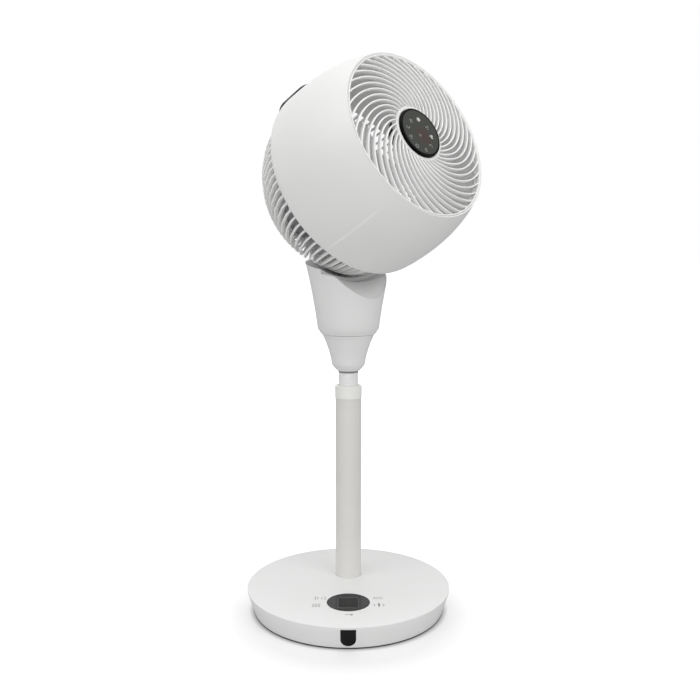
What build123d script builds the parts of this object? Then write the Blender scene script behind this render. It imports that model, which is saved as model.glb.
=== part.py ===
from build123d import *
from math import acos, cos, pi, radians, sin, sqrt, tan
import os

# Pedestal air circulator with a round base, a telescopic column, a neck that
# pans, and a fan head that tilts on a curved toothed track.
# Millimetres, +Z up. The origin is the middle of the base's footprint on the
# floor, and -Y is the side with the touch controls.

# ---------------------------------------------------------------- rest pose
pan_rest = 43.8            # head turned to the right of the base's front
tilt_rest = 24.3           # fan axis raised above level
tilt_low = 0.0             # fan axis level
tilt_high = 90.0           # fan axis straight up
lift_travel = 215.0        # telescopic stroke of the column

# --------------------------------------------------------------- clearances
running_gap = 0.05         # shaft in its bush
seat_gap = 0.1             # pieces that fit into one another
body_gap = 0.4             # pieces of different bodies that pass each other
track_gap = 0.35           # slide shoe in the tilt track

# --------------------------------------------------------------------- base
base_radius = 165.0
base_height = 39.0
base_floor_radius = 152.4
base_wall = 2.6
base_edge_round = 3.0
foot_height = 0.8          # rubber feet below the base plate
foot_radius = 9.0
foot_circle = 128.0
foot_pocket = 1.0
foot_count = 6             # on the circle, and one more in the middle
plate_rim = 1.4            # dark edge of the base plate below the cover
plate_lip = 1.0            # plate inside the cover's wall
ballast_radius = 118.0
ballast_thickness = 8.0
screw_circle = 138.0
screw_count = 6
screw_radius = 1.5
screw_head_radius = 3.2
screw_head_height = 1.5
boss_radius = 4.0
lens_radius = 33.5
lens_thickness = 2.0
lens_setback = 76.0        # lens centre ahead of the base's centre
lens_ledge = 3.0
board_width = 96.0
board_depth = 62.0
board_thickness = 1.6
board_height = 24.0
post_radius = 3.0
display_width = 40.0
display_depth = 30.0
window_width = 23.0
window_bottom = 5.0
window_top = 34.5
receiver_width = 12.0
receiver_depth = 7.0
receiver_height = 9.0
inlet_radius = 7.0
inlet_bore = 3.1
inlet_pin = 1.1
inlet_depth = 14.0
inlet_height = 17.0

# ------------------------------------------------------------------- column
column_setback = 41.0      # column axis behind the base's centre
column_radius = 21.2
column_wall = 1.6
column_top = 341.0
collar_height = 20.0
collar_overhang = 0.7
collar_skirt = 10.0
inner_radius = 15.7
inner_wall = 1.5
inner_bottom = 60.0
inner_top = 395.0
glide_length = 25.0
flange_radius = 45.0
flange_thickness = 6.0
socket_wall = 5.0
socket_height = 27.0
stop_radius = 16.6
stop_wall = 4.0
bolt_circle = 36.0
bolt_count = 4
bolt_radius = 3.0
bolt_head_radius = 5.0
bolt_head_height = 4.0

# --------------------------------------------------------------------- neck
neck_bottom = 385.8
neck_base_radius = 19.2    # lower end of the fixed cone
neck_base_shoulder = 26.8
neck_seam = 446.0          # the turning neck starts here
neck_seam_radius = 42.6
neck_step = 1.4            # turning neck stands out beyond the fixed cone
neck_shoulder_height = 455.0
neck_shoulder_radius = 49.9
neck_mid_height = 516.7
neck_mid_radius = 59.7
neck_rim_height = 580.0
neck_rim_radius = 74.2
neck_wall = 2.8
seal_height = 3.2
seal_radius = 16.3
deck_height = 440.0        # top of the fixed deck that carries the pan gear
deck_thickness = 4.0
spindle_radius = 8.0
spindle_top = 471.0
spindle_plug = 30.0
spindle_core_radius = 12.0   # carries the deck
spindle_flange = 3.0
washer_radius = 19.0
washer_thickness = 3.7
hub_radius = 15.0
bearing_radius = 12.0
bearing_bottom = 446.5
bearing_top = 465.0
clip_radius = 12.5
clip_thickness = 1.6
clip_groove = 0.8
chassis_level = 448.5
chassis_thickness = 3.0
ledge_width = 6.0
gear_module = 1.0
sun_teeth = 48
planet_teeth = 12
gear_width = 5.0
motor_radius = 13.0        # small geared stepping motors
motor_length = 17.0
pinion_shaft = 2.5
pressure_angle = 25.0

# ------------------------------------------------------------ tilting joint
tilt_forward = 21.1        # tilt centre ahead of the column axis
tilt_height = 693.2
trough_radius = 157.0      # hollow of the neck round the head's back
trough_gap = 3.2           # hollow of the neck round the level shroud
cradle_wall = 2.5
ramp_foot = 160.0          # depth below the tilt centre where the ramp starts
ramp_angle = 38.0
ramp_radius = 150.0
track_outer = 151.5
track_inner = 139.0
track_width = 34.0
slot_width = 11.0
slot_floor = 141.0
slot_lip = 147.0
slot_inside = 21.0
track_module = 1.5
track_teeth = 200
pinion_teeth = 12
tooth_band = 6.4
tooth_offset = 9.3         # toothed band from the track's middle plane
shoe_low = -76.0           # shoe's ends, from level behind the tilt centre
shoe_high = -62.0
track_low = tilt_low + shoe_low - 2      # track's ends, from the fan's rear pole
track_high = tilt_high + shoe_high + 2
pinion_direction = -74.0
carriage_plate = 3.0
drive_half_angle = 4.5     # half the width of the plates that hold the gears
carriage_foot = 4.0

# --------------------------------------------------------------------- head
rim_ahead = 139.5          # rim plane ahead of the tilt centre
rim_radius = 133.4
shroud_bulge = 25.9        # growth of the radius from the rim to the waist
shroud_waist = 141.8       # waist behind the rim plane
bulge_power = 2.578
shroud_wall = 2.6
shroud_lip = 150.0         # rear edge behind the rim plane
shroud_lip_radius = 158.0
grille_ring_width = 4.2
grille_ring_depth = 8.0
front_ribs = 38
rib_thickness = 2.3
rib_depth = 7.0
rib_twist = 0.776          # degrees for each millimetre of radius
rib_phase = 3.4
rib_steps = 8
crown_height = 4.8         # middle of the front grille ahead of the rim plane
crown_radius = 70.0
crown_inner_span = 33.0
crown_outer_span = 57.0
hub_ring_radius = 44.6
panel_radius = 38.8
panel_thickness = 4.0
panel_ahead = 5.3          # face of the control panel ahead of the rim plane
panel_cup_depth = 22.0
duct_radius = 129.0
duct_wall = 2.0
duct_length = 130.0
dome_radius = 150.0
dome_depth = 5.0
rear_ribs_per_front_rib = 2
rear_rib_thickness = 3.0
rear_rib_curl = 0.008      # degrees for each squared degree from the lip
rear_rib_steps = 8
rear_rib_phase = 0.1
rear_lip_angle = 86.5      # polar angle of the rear grille's outer ring
rear_hub_angle = 18.0
rear_ring_width = 5.5
rear_rail_width = 3.5      # rails of the rear grille beside the track

# ---------------------------------------------------------- motor, impeller
fan_motor_radius = 41.0
fan_motor_length = 48.0
fan_motor_back = 112.0     # back face behind the tilt centre
fan_motor_edge = 5.0
motor_boss_radius = 13.0
motor_boss_length = 6.0
mount_wall = 3.0
mount_foot_radius = 43.0
shaft_radius = 4.0
shaft_front = 12.0         # ahead of the tilt centre
impeller_back = 52.0
hub_length = 52.0
impeller_hub_radius = 34.0
hub_skin = 3.0
nose_round = 12.0
blade_count = 7
blade_tip_radius = 118.0
blade_thickness = 2.4
blade_root_chord = 52.0
blade_tip_chord = 88.0
blade_root_pitch = 52.0
blade_tip_pitch = 27.0
blade_sweep = 24.0
blade_camber = 0.09
nut_radius = 9.0
nut_height = 12.0

# ------------------------------------------------------------------- handle
handle_width = 40.0
handle_top = 183.0         # outer face from the fan axis
handle_thickness = 5.0
grip_thickness = 3.5
handle_front = 4.0         # ahead of the tilt centre
handle_back = 109.0        # behind the tilt centre
handle_round = 12.0
handle_foot_radius = 98.0
handle_leg = 8.0
handle_root = 166.0        # where the front foot starts to slope
handle_slope = 24.0
handle_foot = 15.0         # front foot, measured along the fan axis

os.makedirs("parts", exist_ok=True)

# --------------------------------------------------- directions and places
up = Vector(0, 0, 1)
forward = Vector(sin(radians(pan_rest)), -cos(radians(pan_rest)), 0)
lateral = Vector(cos(radians(pan_rest)), sin(radians(pan_rest)), 0)
fan_axis = forward * cos(radians(tilt_rest)) + up * sin(radians(tilt_rest))
head_up = up * cos(radians(tilt_rest)) - forward * sin(radians(tilt_rest))
column_origin = Vector(0, column_setback, 0)
tilt_centre = column_origin + forward * tilt_forward + up * tilt_height
column_line = Axis(column_origin, up)
fan_line = Axis(tilt_centre, fan_axis)


def column_level(height):
    """Level plane on the column axis: x to the neck's side, y to its back."""
    return Plane(origin=column_origin + up * height, x_dir=lateral, z_dir=up)


column_section = Plane(origin=column_origin, x_dir=lateral, z_dir=forward)


def neck_side(offset):
    """Upright plane through the tilt centre: x backward, y up."""
    return Plane(origin=tilt_centre + lateral * offset, x_dir=forward * -1, z_dir=lateral)


def head_side(offset):
    """Plane along the fan axis: x to the head's rear, y to its top."""
    return Plane(origin=tilt_centre + lateral * offset, x_dir=fan_axis * -1, z_dir=lateral)


def head_disc(ahead):
    """Plane across the fan axis, ahead of the tilt centre."""
    return Plane(origin=tilt_centre + fan_axis * ahead, x_dir=lateral, z_dir=fan_axis)


head_section = Plane(origin=tilt_centre, x_dir=head_up, z_dir=lateral)


def head_point(radius, angle, ahead):
    """Point given by its distance from the fan axis, its clock angle and its depth."""
    turned = lateral * cos(radians(angle)) + head_up * sin(radians(angle))
    return tilt_centre + turned * radius + fan_axis * ahead


def direction(angle):
    return Vector(cos(radians(angle)), sin(radians(angle)), 0)


# --------------------------------------------------------- shared outlines
def arc_band(inner, outer, start, end):
    """Band between two radii and two angles."""
    with BuildSketch() as band:
        with BuildLine():
            low = CenterArc((0, 0), inner, start, end - start)
            high = CenterArc((0, 0), outer, start, end - start)
            Line(low @ 0, high @ 0)
            Line(low @ 1, high @ 1)
        make_face()
    return band.sketch


def involute(angle):
    return tan(angle) - angle


def tooth_points(teeth, module, centre_angle):
    """Involute tooth pointing outward at an angle in degrees, root to root."""
    pitch = teeth * module / 2
    base = pitch * cos(radians(pressure_angle))
    root = pitch - 1.15 * module
    tip = pitch + 0.9 * module
    backlash = 0.06 * module
    half_pitch = pi / (2 * teeth) - backlash / pitch
    half_base = half_pitch + involute(radians(pressure_angle))
    first = max(root, base)
    flank = [first, (first + tip) / 2, tip]
    halves = [(root, half_base - involute(acos(min(1, base / first))))]
    halves += [(r, half_base - involute(acos(min(1, base / r)))) for r in flank]
    if root >= base:
        halves = halves[1:]
    turn = radians(centre_angle)
    left = [(r * cos(turn - h), r * sin(turn - h)) for r, h in halves]
    right = [(r * cos(turn + h), r * sin(turn + h)) for r, h in reversed(halves)]
    return left + right


def gear_face(teeth, module, first_tooth):
    """Outline of a whole spur gear with one tooth at the given angle."""
    points = []
    for index in range(teeth):
        points += tooth_points(teeth, module, first_tooth + index * 360 / teeth)
    with BuildSketch() as gear:
        with BuildLine():
            Polyline(*points, close=True)
        make_face()
    return gear.sketch


def shroud_radius(ahead):
    """Outer radius of the shroud at a place along the fan axis."""
    behind_rim = rim_ahead - ahead
    rest = abs(1 - behind_rim / shroud_waist)
    return rim_radius + shroud_bulge * (1 - rest ** bulge_power)


def shroud_curve(offset, start, end, count):
    """Points along the shroud's outline, moved out square to it."""
    points = []
    for index in range(count):
        ahead = start + (end - start) * index / (count - 1)
        slope = shroud_radius(ahead + 0.5) - shroud_radius(ahead - 0.5)
        scale = offset / sqrt(1 + slope * slope)
        points.append((shroud_radius(ahead) + scale, ahead - slope * scale))
    return points


# ======================================================== base, fixed pieces
base_tilt = (base_radius - base_floor_radius) / base_height
cover_bottom = foot_height + plate_rim
inner_ceiling = base_height - base_wall


def base_wall_radius(height):
    """Outer radius of the cover's sloping side."""
    return base_floor_radius + base_tilt * height


plate_radius = base_wall_radius(cover_bottom) - base_wall
screw_places = [direction(360 / screw_count * i) * screw_circle for i in range(screw_count)]
outer_feet = [direction(360 / foot_count * (i + 0.5)) * foot_circle for i in range(foot_count)]
foot_places = [Vector(0, 0, 0)] + outer_feet
lens_centre = Vector(0, -lens_setback, 0)
plate_top = cover_bottom + plate_lip
plate_bottom = foot_height


def window_outline(width):
    """U shape of the receiver window, seen from the front."""
    with BuildSketch() as outline:
        with Locations((0, (window_bottom + window_top) / 2 + width / 4)):
            Rectangle(width, window_top - window_bottom - width / 2)
        with Locations((0, window_bottom + window_width / 2)):
            Circle(width / 2)
    return outline.sketch


# Cover: a shallow white cap with screw bosses and its openings.
with BuildPart() as base_cover:
    with BuildSketch(Plane.XZ):
        with BuildLine():
            Polyline(
                (0, base_height),
                (base_radius - base_edge_round, base_height),
                (base_radius - 0.3 * base_edge_round, base_height - 0.3 * base_edge_round),
                (base_wall_radius(base_height - base_edge_round), base_height - base_edge_round),
                (base_wall_radius(cover_bottom), cover_bottom),
                (base_wall_radius(cover_bottom) - base_wall, cover_bottom),
                (base_wall_radius(inner_ceiling) - base_wall, inner_ceiling),
                (0, inner_ceiling),
                close=True,
            )
        make_face()
    revolve(axis=Axis.Z)
    with BuildSketch(Plane.XY.offset(plate_top)):
        with Locations(*screw_places):
            Circle(boss_radius)
    extrude(until=Until.NEXT)
    with BuildSketch(Plane.XY.offset(plate_top)):
        with Locations(*screw_places):
            Circle(screw_radius + seat_gap)
    extrude(amount=base_height / 2, mode=Mode.SUBTRACT)
    with BuildSketch(Plane.XY.offset(base_height)):
        with Locations(lens_centre):
            Circle(lens_radius + seat_gap)
    extrude(amount=-lens_thickness, mode=Mode.SUBTRACT)
    with BuildSketch(Plane.XY.offset(base_height)):
        with Locations(lens_centre):
            Circle(lens_radius - lens_ledge)
    extrude(amount=-2 * base_wall, mode=Mode.SUBTRACT)
    with BuildSketch(Plane.XY.offset(base_height)):
        with Locations(column_origin):
            Circle(column_radius + body_gap)
    extrude(amount=-2 * base_wall, mode=Mode.SUBTRACT)
    with BuildSketch(Plane.XZ):
        add(window_outline(window_width + 2 * seat_gap))
    extrude(amount=2 * base_radius, mode=Mode.SUBTRACT)
    with BuildSketch(Plane.XZ):
        with Locations((0, inlet_height)):
            Circle(inlet_radius + seat_gap)
    extrude(amount=-2 * base_radius, mode=Mode.SUBTRACT)
base_cover.part.label = "base_cover"
export_step(base_cover.part, "parts/base_cover.step")

# Dark plate that closes the base from below.
with BuildPart() as base_plate:
    with BuildSketch(Plane.XZ):
        with BuildLine():
            Polyline(
                (0, plate_bottom),
                (base_wall_radius(cover_bottom) - seat_gap, plate_bottom),
                (base_wall_radius(cover_bottom) - seat_gap, cover_bottom),
                (plate_radius - seat_gap, cover_bottom),
                (plate_radius - seat_gap, plate_top),
                (0, plate_top),
                close=True,
            )
        make_face()
    revolve(axis=Axis.Z)
    with BuildSketch(Plane.XY.offset(plate_bottom)):
        with Locations(*foot_places):
            Circle(foot_radius + seat_gap)
    extrude(amount=foot_pocket, mode=Mode.SUBTRACT)
    with BuildSketch(Plane.XY):
        with Locations(*screw_places):
            Circle(screw_radius + seat_gap)
        with Locations(column_origin):
            with PolarLocations(bolt_circle, bolt_count, 45):
                Circle(bolt_radius + seat_gap)
    extrude(amount=plate_top, mode=Mode.SUBTRACT)
    with BuildSketch(Plane.XY):
        with Locations(*screw_places):
            Circle(screw_head_radius + seat_gap)
    extrude(amount=plate_bottom + screw_head_height, mode=Mode.SUBTRACT)
base_plate.part.label = "base_plate"
export_step(base_plate.part, "parts/base_plate.step")

# Soft pads in pockets of the plate.
with BuildPart() as rubber_feet:
    with BuildSketch(Plane.XY):
        with Locations(*foot_places):
            Circle(foot_radius)
    extrude(amount=foot_height + foot_pocket)
rubber_feet.part.label = "rubber_feet"
export_step(rubber_feet.part, "parts/rubber_feet.step")

# Screws from below into the cover's bosses.
screw_length = inner_ceiling - plate_bottom - screw_head_height - 8
with BuildPart() as base_screws:
    with BuildSketch(Plane.XY.offset(plate_bottom + screw_head_height)):
        with Locations(*screw_places):
            Circle(screw_radius)
    extrude(amount=min(screw_length, 14))
    with BuildSketch(Plane.XY.offset(plate_bottom)):
        with Locations(*screw_places):
            Circle(screw_head_radius)
    extrude(amount=screw_head_height)
base_screws.part.label = "base_screws"
export_step(base_screws.part, "parts/base_screws.step")

# Cast weight on the plate, cut out round the column's flange.
with BuildPart() as ballast_weight:
    with BuildSketch(Plane.XY.offset(plate_top)):
        Circle(ballast_radius)
        with Locations(column_origin):
            Circle(flange_radius + 1, mode=Mode.SUBTRACT)
    extrude(amount=ballast_thickness)
ballast_weight.part.label = "ballast_weight"
export_step(ballast_weight.part, "parts/ballast_weight.step")

# Touch and display board on posts that stand on the weight.
board_posts = [(x * (board_width / 2 - 6), y * (board_depth / 2 - 6)) for x in (-1, 1) for y in (-1, 1)]
with BuildPart() as control_board:
    with BuildSketch(Plane.XY.offset(board_height)):
        with Locations(lens_centre):
            RectangleRounded(board_width, board_depth, 5)
    extrude(amount=board_thickness)
    with BuildSketch(Plane.XY.offset(plate_top + ballast_thickness)):
        with Locations(lens_centre):
            with Locations(*board_posts):
                Circle(post_radius)
    extrude(amount=board_height - plate_top - ballast_thickness)
control_board.part.label = "control_board"
export_step(control_board.part, "parts/control_board.step")

# Display block between the board and the lens.
display_base = board_height + board_thickness
with BuildPart() as display_module:
    with BuildSketch(Plane.XY.offset(display_base)):
        with Locations(lens_centre):
            Rectangle(display_width, display_depth)
    extrude(amount=base_height - lens_thickness - seat_gap - display_base)
display_module.part.label = "display_module"
export_step(display_module.part, "parts/display_module.step")

# Round dark lens, flush with the cover's top.
with BuildPart() as display_lens:
    with BuildSketch(Plane.XY.offset(base_height - lens_thickness)):
        with Locations(lens_centre):
            Circle(lens_radius)
    extrude(amount=lens_thickness)
display_lens.part.label = "display_lens"
export_step(display_lens.part, "parts/display_lens.step")

# Window for the remote control's receiver, in the sloping side.
with BuildPart() as ir_window:
    with BuildSketch(Plane.XZ):
        add(window_outline(window_width))
    extrude(amount=2 * base_radius)
    with BuildSketch(Plane.XZ):
        with BuildLine():
            Polyline(
                (base_wall_radius(0) - base_wall, 0),
                (base_wall_radius(0), 0),
                (base_wall_radius(base_height), base_height),
                (base_wall_radius(base_height) - base_wall, base_height),
                close=True,
            )
        make_face()
    revolve(axis=Axis.Z, mode=Mode.INTERSECT)
ir_window.part.label = "ir_window"
export_step(ir_window.part, "parts/ir_window.step")

# Receiver behind the window, on a bracket on the plate.
receiver_middle = (window_bottom + window_top) / 2
receiver_front = base_wall_radius(receiver_middle - receiver_height / 2) - base_wall - 1
with BuildPart() as ir_receiver:
    with BuildSketch(Plane.XY.offset(receiver_middle - receiver_height / 2)):
        with Locations((0, -receiver_front + receiver_depth / 2)):
            Rectangle(receiver_width, receiver_depth)
    extrude(amount=receiver_height)
    with BuildSketch(Plane.XY.offset(plate_top)):
        with Locations((0, -receiver_front + receiver_depth)):
            Rectangle(receiver_width, 2)
    extrude(amount=receiver_middle - plate_top)
ir_receiver.part.label = "ir_receiver"
export_step(ir_receiver.part, "parts/ir_receiver.step")

# Round low-voltage inlet in the back of the side wall.
inlet_face = base_wall_radius(inlet_height) - 0.5
with BuildPart() as power_inlet:
    with BuildSketch(Plane.XZ.offset(-inlet_face)):
        with Locations((0, inlet_height)):
            Circle(inlet_radius)
            Circle(inlet_bore, mode=Mode.SUBTRACT)
    extrude(amount=inlet_depth)
    with BuildSketch(Plane.XZ.offset(inlet_depth - inlet_face)):
        with Locations((0, inlet_height)):
            Circle(inlet_radius)
    extrude(amount=2)
    with BuildSketch(Plane.XZ.offset(1.5 - inlet_face)):
        with Locations((0, inlet_height)):
            Circle(inlet_pin)
    extrude(amount=inlet_depth)
power_inlet.part.label = "power_inlet"
export_step(power_inlet.part, "parts/power_inlet.step")

# ============================================================= fixed column
column_inside = column_radius - column_wall
flange_top = plate_top + flange_thickness
bush_bottom = inner_bottom + glide_length + lift_travel + 0.3

# Cast foot: bolted flange, socket for the tube, and the stop post inside.
with BuildPart() as column_foot:
    with BuildSketch(column_level(plate_top)):
        Circle(flange_radius)
    extrude(amount=flange_thickness)
    with BuildSketch(column_level(flange_top)):
        Circle(column_radius + seat_gap + socket_wall)
        Circle(column_radius + seat_gap, mode=Mode.SUBTRACT)
    extrude(amount=socket_height - flange_thickness)
    with BuildSketch(column_level(flange_top)):
        Circle(stop_radius)
        Circle(stop_radius - stop_wall, mode=Mode.SUBTRACT)
    extrude(amount=inner_bottom - flange_top)
    with BuildSketch(Plane.XY.offset(plate_top)):
        with Locations(column_origin):
            with PolarLocations(bolt_circle, bolt_count, 45):
                Circle(bolt_radius + seat_gap)
    extrude(amount=flange_thickness, mode=Mode.SUBTRACT)
column_foot.part.label = "column_foot"
export_step(column_foot.part, "parts/column_foot.step")

# Bolts through the flange and the plate.
with BuildPart() as column_bolts:
    with BuildSketch(Plane.XY.offset(plate_bottom + 0.2)):
        with Locations(column_origin):
            with PolarLocations(bolt_circle, bolt_count, 45):
                Circle(bolt_radius)
    extrude(amount=flange_top - plate_bottom - 0.2)
    with BuildSketch(Plane.XY.offset(flange_top)):
        with Locations(column_origin):
            with PolarLocations(bolt_circle, bolt_count, 45):
                RegularPolygon(bolt_head_radius, 6)
    extrude(amount=bolt_head_height)
column_bolts.part.label = "column_bolts"
export_step(column_bolts.part, "parts/column_bolts.step")

with BuildPart() as outer_column:
    with BuildSketch(column_level(flange_top)):
        Circle(column_radius)
        Circle(column_inside, mode=Mode.SUBTRACT)
    extrude(amount=column_top - flange_top)
outer_column.part.label = "outer_column"
export_step(outer_column.part, "parts/outer_column.step")

# Long bush that guides the inner tube and stops the stroke.
bush_top = column_top - collar_skirt
with BuildPart() as guide_bush:
    with BuildSketch(column_level(bush_bottom)):
        Circle(column_inside - seat_gap)
        Circle(inner_radius + running_gap, mode=Mode.SUBTRACT)
    extrude(amount=bush_top - bush_bottom)
guide_bush.part.label = "guide_bush"
export_step(guide_bush.part, "parts/guide_bush.step")

# Collar on the tube's end, with a skirt down to the bush.
with BuildPart() as column_collar:
    with BuildSketch(column_section):
        with BuildLine():
            Polyline(
                (inner_radius + body_gap, bush_top),
                (column_inside - seat_gap, bush_top),
                (column_inside - seat_gap, column_top),
                (column_radius + collar_overhang, column_top),
                (column_radius + collar_overhang, column_top + collar_height - 1.2),
                (column_radius + collar_overhang - 1.2, column_top + collar_height),
                (inner_radius + body_gap, column_top + collar_height),
                close=True,
            )
        make_face()
    revolve(axis=column_line)
column_collar.part.label = "column_collar"
export_step(column_collar.part, "parts/column_collar.step")

# ======================================================= pieces that rise
with BuildPart() as inner_column:
    with BuildSketch(column_level(inner_bottom)):
        Circle(inner_radius)
        Circle(inner_radius - inner_wall, mode=Mode.SUBTRACT)
    extrude(amount=inner_top - inner_bottom)
inner_column.part.label = "inner_column"
export_step(inner_column.part, "parts/inner_column.step")

# Ring at the tube's lower end, running in the outer tube.
with BuildPart() as glide_ring:
    with BuildSketch(column_level(inner_bottom)):
        Circle(column_inside - running_gap)
        Circle(inner_radius, mode=Mode.SUBTRACT)
    extrude(amount=glide_length)
glide_ring.part.label = "glide_ring"
export_step(glide_ring.part, "parts/glide_ring.step")

# Dark ring in the shadow gap under the neck.
with BuildPart() as seal_ring:
    with BuildSketch(column_level(neck_bottom - seal_height)):
        Circle(seal_radius)
        Circle(inner_radius, mode=Mode.SUBTRACT)
    extrude(amount=seal_height)
seal_ring.part.label = "seal_ring"
export_step(seal_ring.part, "parts/seal_ring.step")

# Fixed cone of the neck, with the deck that carries the pan bearing's washer.
cone_top = neck_seam - body_gap
cone_waist = (neck_base_shoulder + neck_seam_radius) / 2 - 2.2


def steps_along(first, middle, last, count):
    """Points along the arc through three places."""
    arc = ThreePointArc(first, middle, last, mode=Mode.PRIVATE)
    return [arc @ (index / count) for index in range(count + 1)]


def cone_curve(start, start_inset, end, end_inset, count):
    """Points up the hollow side of the fixed cone, between two heights."""
    middle = (neck_bottom + 9.8 + cone_top) / 2
    return steps_along(
        (neck_base_shoulder - start_inset, start),
        (cone_waist - (start_inset + end_inset) / 2, middle),
        (neck_seam_radius - end_inset, end),
        count,
    )


cone_bore = inner_radius + seat_gap
deck_bottom = deck_height - deck_thickness
with BuildPart() as neck_base:
    with BuildSketch(column_section):
        with BuildLine():
            Polyline(
                (cone_bore, deck_bottom),
                (cone_bore, neck_bottom),
                (neck_base_radius - 1, neck_bottom),
                (neck_base_radius + 3.6, neck_bottom + 4.2),
                *cone_curve(neck_bottom + 9.8, 0, cone_top, 0, 4),
                (neck_seam_radius - neck_wall, cone_top),
                (neck_seam_radius - neck_wall, deck_height),
                (spindle_radius + seat_gap, deck_height),
                (spindle_radius + seat_gap, deck_bottom),
                close=True,
            )
        make_face()
    revolve(axis=column_line)
    with BuildSketch(column_section):
        with BuildLine():
            Polyline(
                *cone_curve(neck_bottom + 14, neck_wall, deck_bottom, 2.2 * neck_wall, 1),
                (cone_bore + neck_wall, deck_bottom),
                (cone_bore + neck_wall, neck_bottom + 14),
                close=True,
            )
        make_face()
    revolve(axis=column_line, mode=Mode.SUBTRACT)
neck_base.part.label = "neck_base"
export_step(neck_base.part, "parts/neck_base.step")

# Steel spindle: plug in the tube, shoulder under the deck, turning shaft above.
tube_bore = inner_radius - inner_wall
clip_bottom = bearing_top + 0.3
with BuildPart() as pan_spindle:
    with BuildSketch(column_section):
        with BuildLine():
            Polyline(
                (0, inner_top - spindle_plug),
                (tube_bore, inner_top - spindle_plug),
                (tube_bore, inner_top),
                (inner_radius, inner_top),
                (inner_radius, inner_top + spindle_flange),
                (spindle_core_radius, inner_top + spindle_flange),
                (spindle_core_radius, deck_bottom),
                (spindle_radius, deck_bottom),
                (spindle_radius, clip_bottom),
                (spindle_radius - clip_groove, clip_bottom),
                (spindle_radius - clip_groove, clip_bottom + clip_thickness),
                (spindle_radius, clip_bottom + clip_thickness),
                (spindle_radius, spindle_top),
                (0, spindle_top),
                close=True,
            )
        make_face()
    revolve(axis=column_line)
pan_spindle.part.label = "pan_spindle"
export_step(pan_spindle.part, "parts/pan_spindle.step")

# Fixed gear that the pan motor walks round.
planet_distance = gear_module * (sun_teeth + planet_teeth) / 2 + 0.05
with BuildPart() as sun_gear:
    with BuildSketch(column_level(deck_height)):
        add(gear_face(sun_teeth, gear_module, 0))
        Circle(washer_radius + seat_gap, mode=Mode.SUBTRACT)
    extrude(amount=gear_width)
sun_gear.part.label = "sun_gear"
export_step(sun_gear.part, "parts/sun_gear.step")

with BuildPart() as thrust_washer:
    with BuildSketch(column_level(deck_height)):
        Circle(washer_radius)
        Circle(spindle_radius + seat_gap, mode=Mode.SUBTRACT)
    extrude(amount=washer_thickness)
thrust_washer.part.label = "thrust_washer"
export_step(thrust_washer.part, "parts/thrust_washer.step")

# Open retaining ring in the spindle's groove.
with BuildPart() as spindle_clip:
    with BuildSketch(column_level(clip_bottom)):
        Circle(clip_radius)
        Circle(spindle_radius - clip_groove, mode=Mode.SUBTRACT)
        with Locations((0, clip_radius)):
            Rectangle(spindle_radius, clip_radius, mode=Mode.SUBTRACT)
    extrude(amount=clip_thickness)
spindle_clip.part.label = "spindle_clip"
export_step(spindle_clip.part, "parts/spindle_clip.step")

# ================================================================ the neck
# Places of the tilt drive, in the neck's side plane.
shoe_neck = slot_width / 2 - track_gap
flange_inner = trough_radius + cradle_wall + seat_gap
plate_side = tooth_offset + tooth_band + 0.5
pinion_distance = track_module * (track_teeth + pinion_teeth) / 2 + 0.1
motor_distance = pinion_distance + track_module * pinion_teeth + 0.1
pinion_centre = direction(pinion_direction) * pinion_distance
motor_centre = direction(pinion_direction) * motor_distance

# The hollow that the head moves in: round its dome, round the level shroud,
# and a ramp that opens the front of the neck.
level_line = Axis(tilt_centre, forward)
ramp_direction = forward * cos(radians(ramp_angle)) - up * sin(radians(ramp_angle))
ramp_up = forward * sin(radians(ramp_angle)) + up * cos(radians(ramp_angle))
level_section = Plane(origin=tilt_centre, x_dir=up, z_dir=lateral)


def trough(extra):
    """Space that the neck leaves free, made larger by extra."""
    reach = rim_ahead + 20
    waist = rim_ahead - shroud_waist
    barrel_start = waist - 12 - 2 * extra
    side = shroud_curve(trough_gap + extra, waist, rim_ahead, 3)
    ramp_start = tilt_centre - up * ramp_foot + ramp_up * ramp_radius - ramp_direction * 2 * extra
    with BuildPart() as space:
        with Locations(tilt_centre):
            Sphere(trough_radius + extra)
        with BuildSketch(level_section):
            with BuildLine():
                ThreePointArc(*side)
                Polyline(
                    side[2],
                    (side[2][0], reach),
                    (0, reach),
                    (0, barrel_start),
                    (side[0][0], barrel_start),
                    side[0],
                )
            make_face()
        revolve(axis=level_line)
        with BuildSketch(Plane(origin=ramp_start, x_dir=lateral, z_dir=ramp_direction)):
            Circle(ramp_radius + extra)
        extrude(amount=reach + 2 * extra)
    return space.part


neck_hollow = trough(0)
cradle_outer = trough(cradle_wall)


def neck_side_curve(inset):
    """Outline of the turning neck's side, from its shoulder to above the rim."""
    return ThreePointArc(
        (neck_shoulder_radius - inset, neck_shoulder_height),
        (neck_mid_radius - inset, neck_mid_height),
        (neck_rim_radius - inset, neck_rim_height),
    )


housing_bottom_radius = neck_seam_radius + neck_step
ledge_inner = housing_bottom_radius - ledge_width

# Outer shell of the turning neck, cut open by the hollow.
with BuildPart() as neck_housing:
    with BuildSketch(column_section):
        with BuildLine():
            outside = neck_side_curve(0)
            inside = neck_side_curve(neck_wall)
            Polyline(
                outside @ 0,
                (housing_bottom_radius, neck_seam),
                (ledge_inner, neck_seam),
                (ledge_inner, chassis_level),
                (housing_bottom_radius - neck_wall + 1.5, chassis_level),
                inside @ 0,
            )
            Line(inside @ 1, outside @ 1)
        make_face()
    revolve(axis=column_line)
    add(neck_hollow, mode=Mode.SUBTRACT)
neck_housing.part.label = "neck_housing"
export_step(neck_housing.part, "parts/neck_housing.step")

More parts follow.
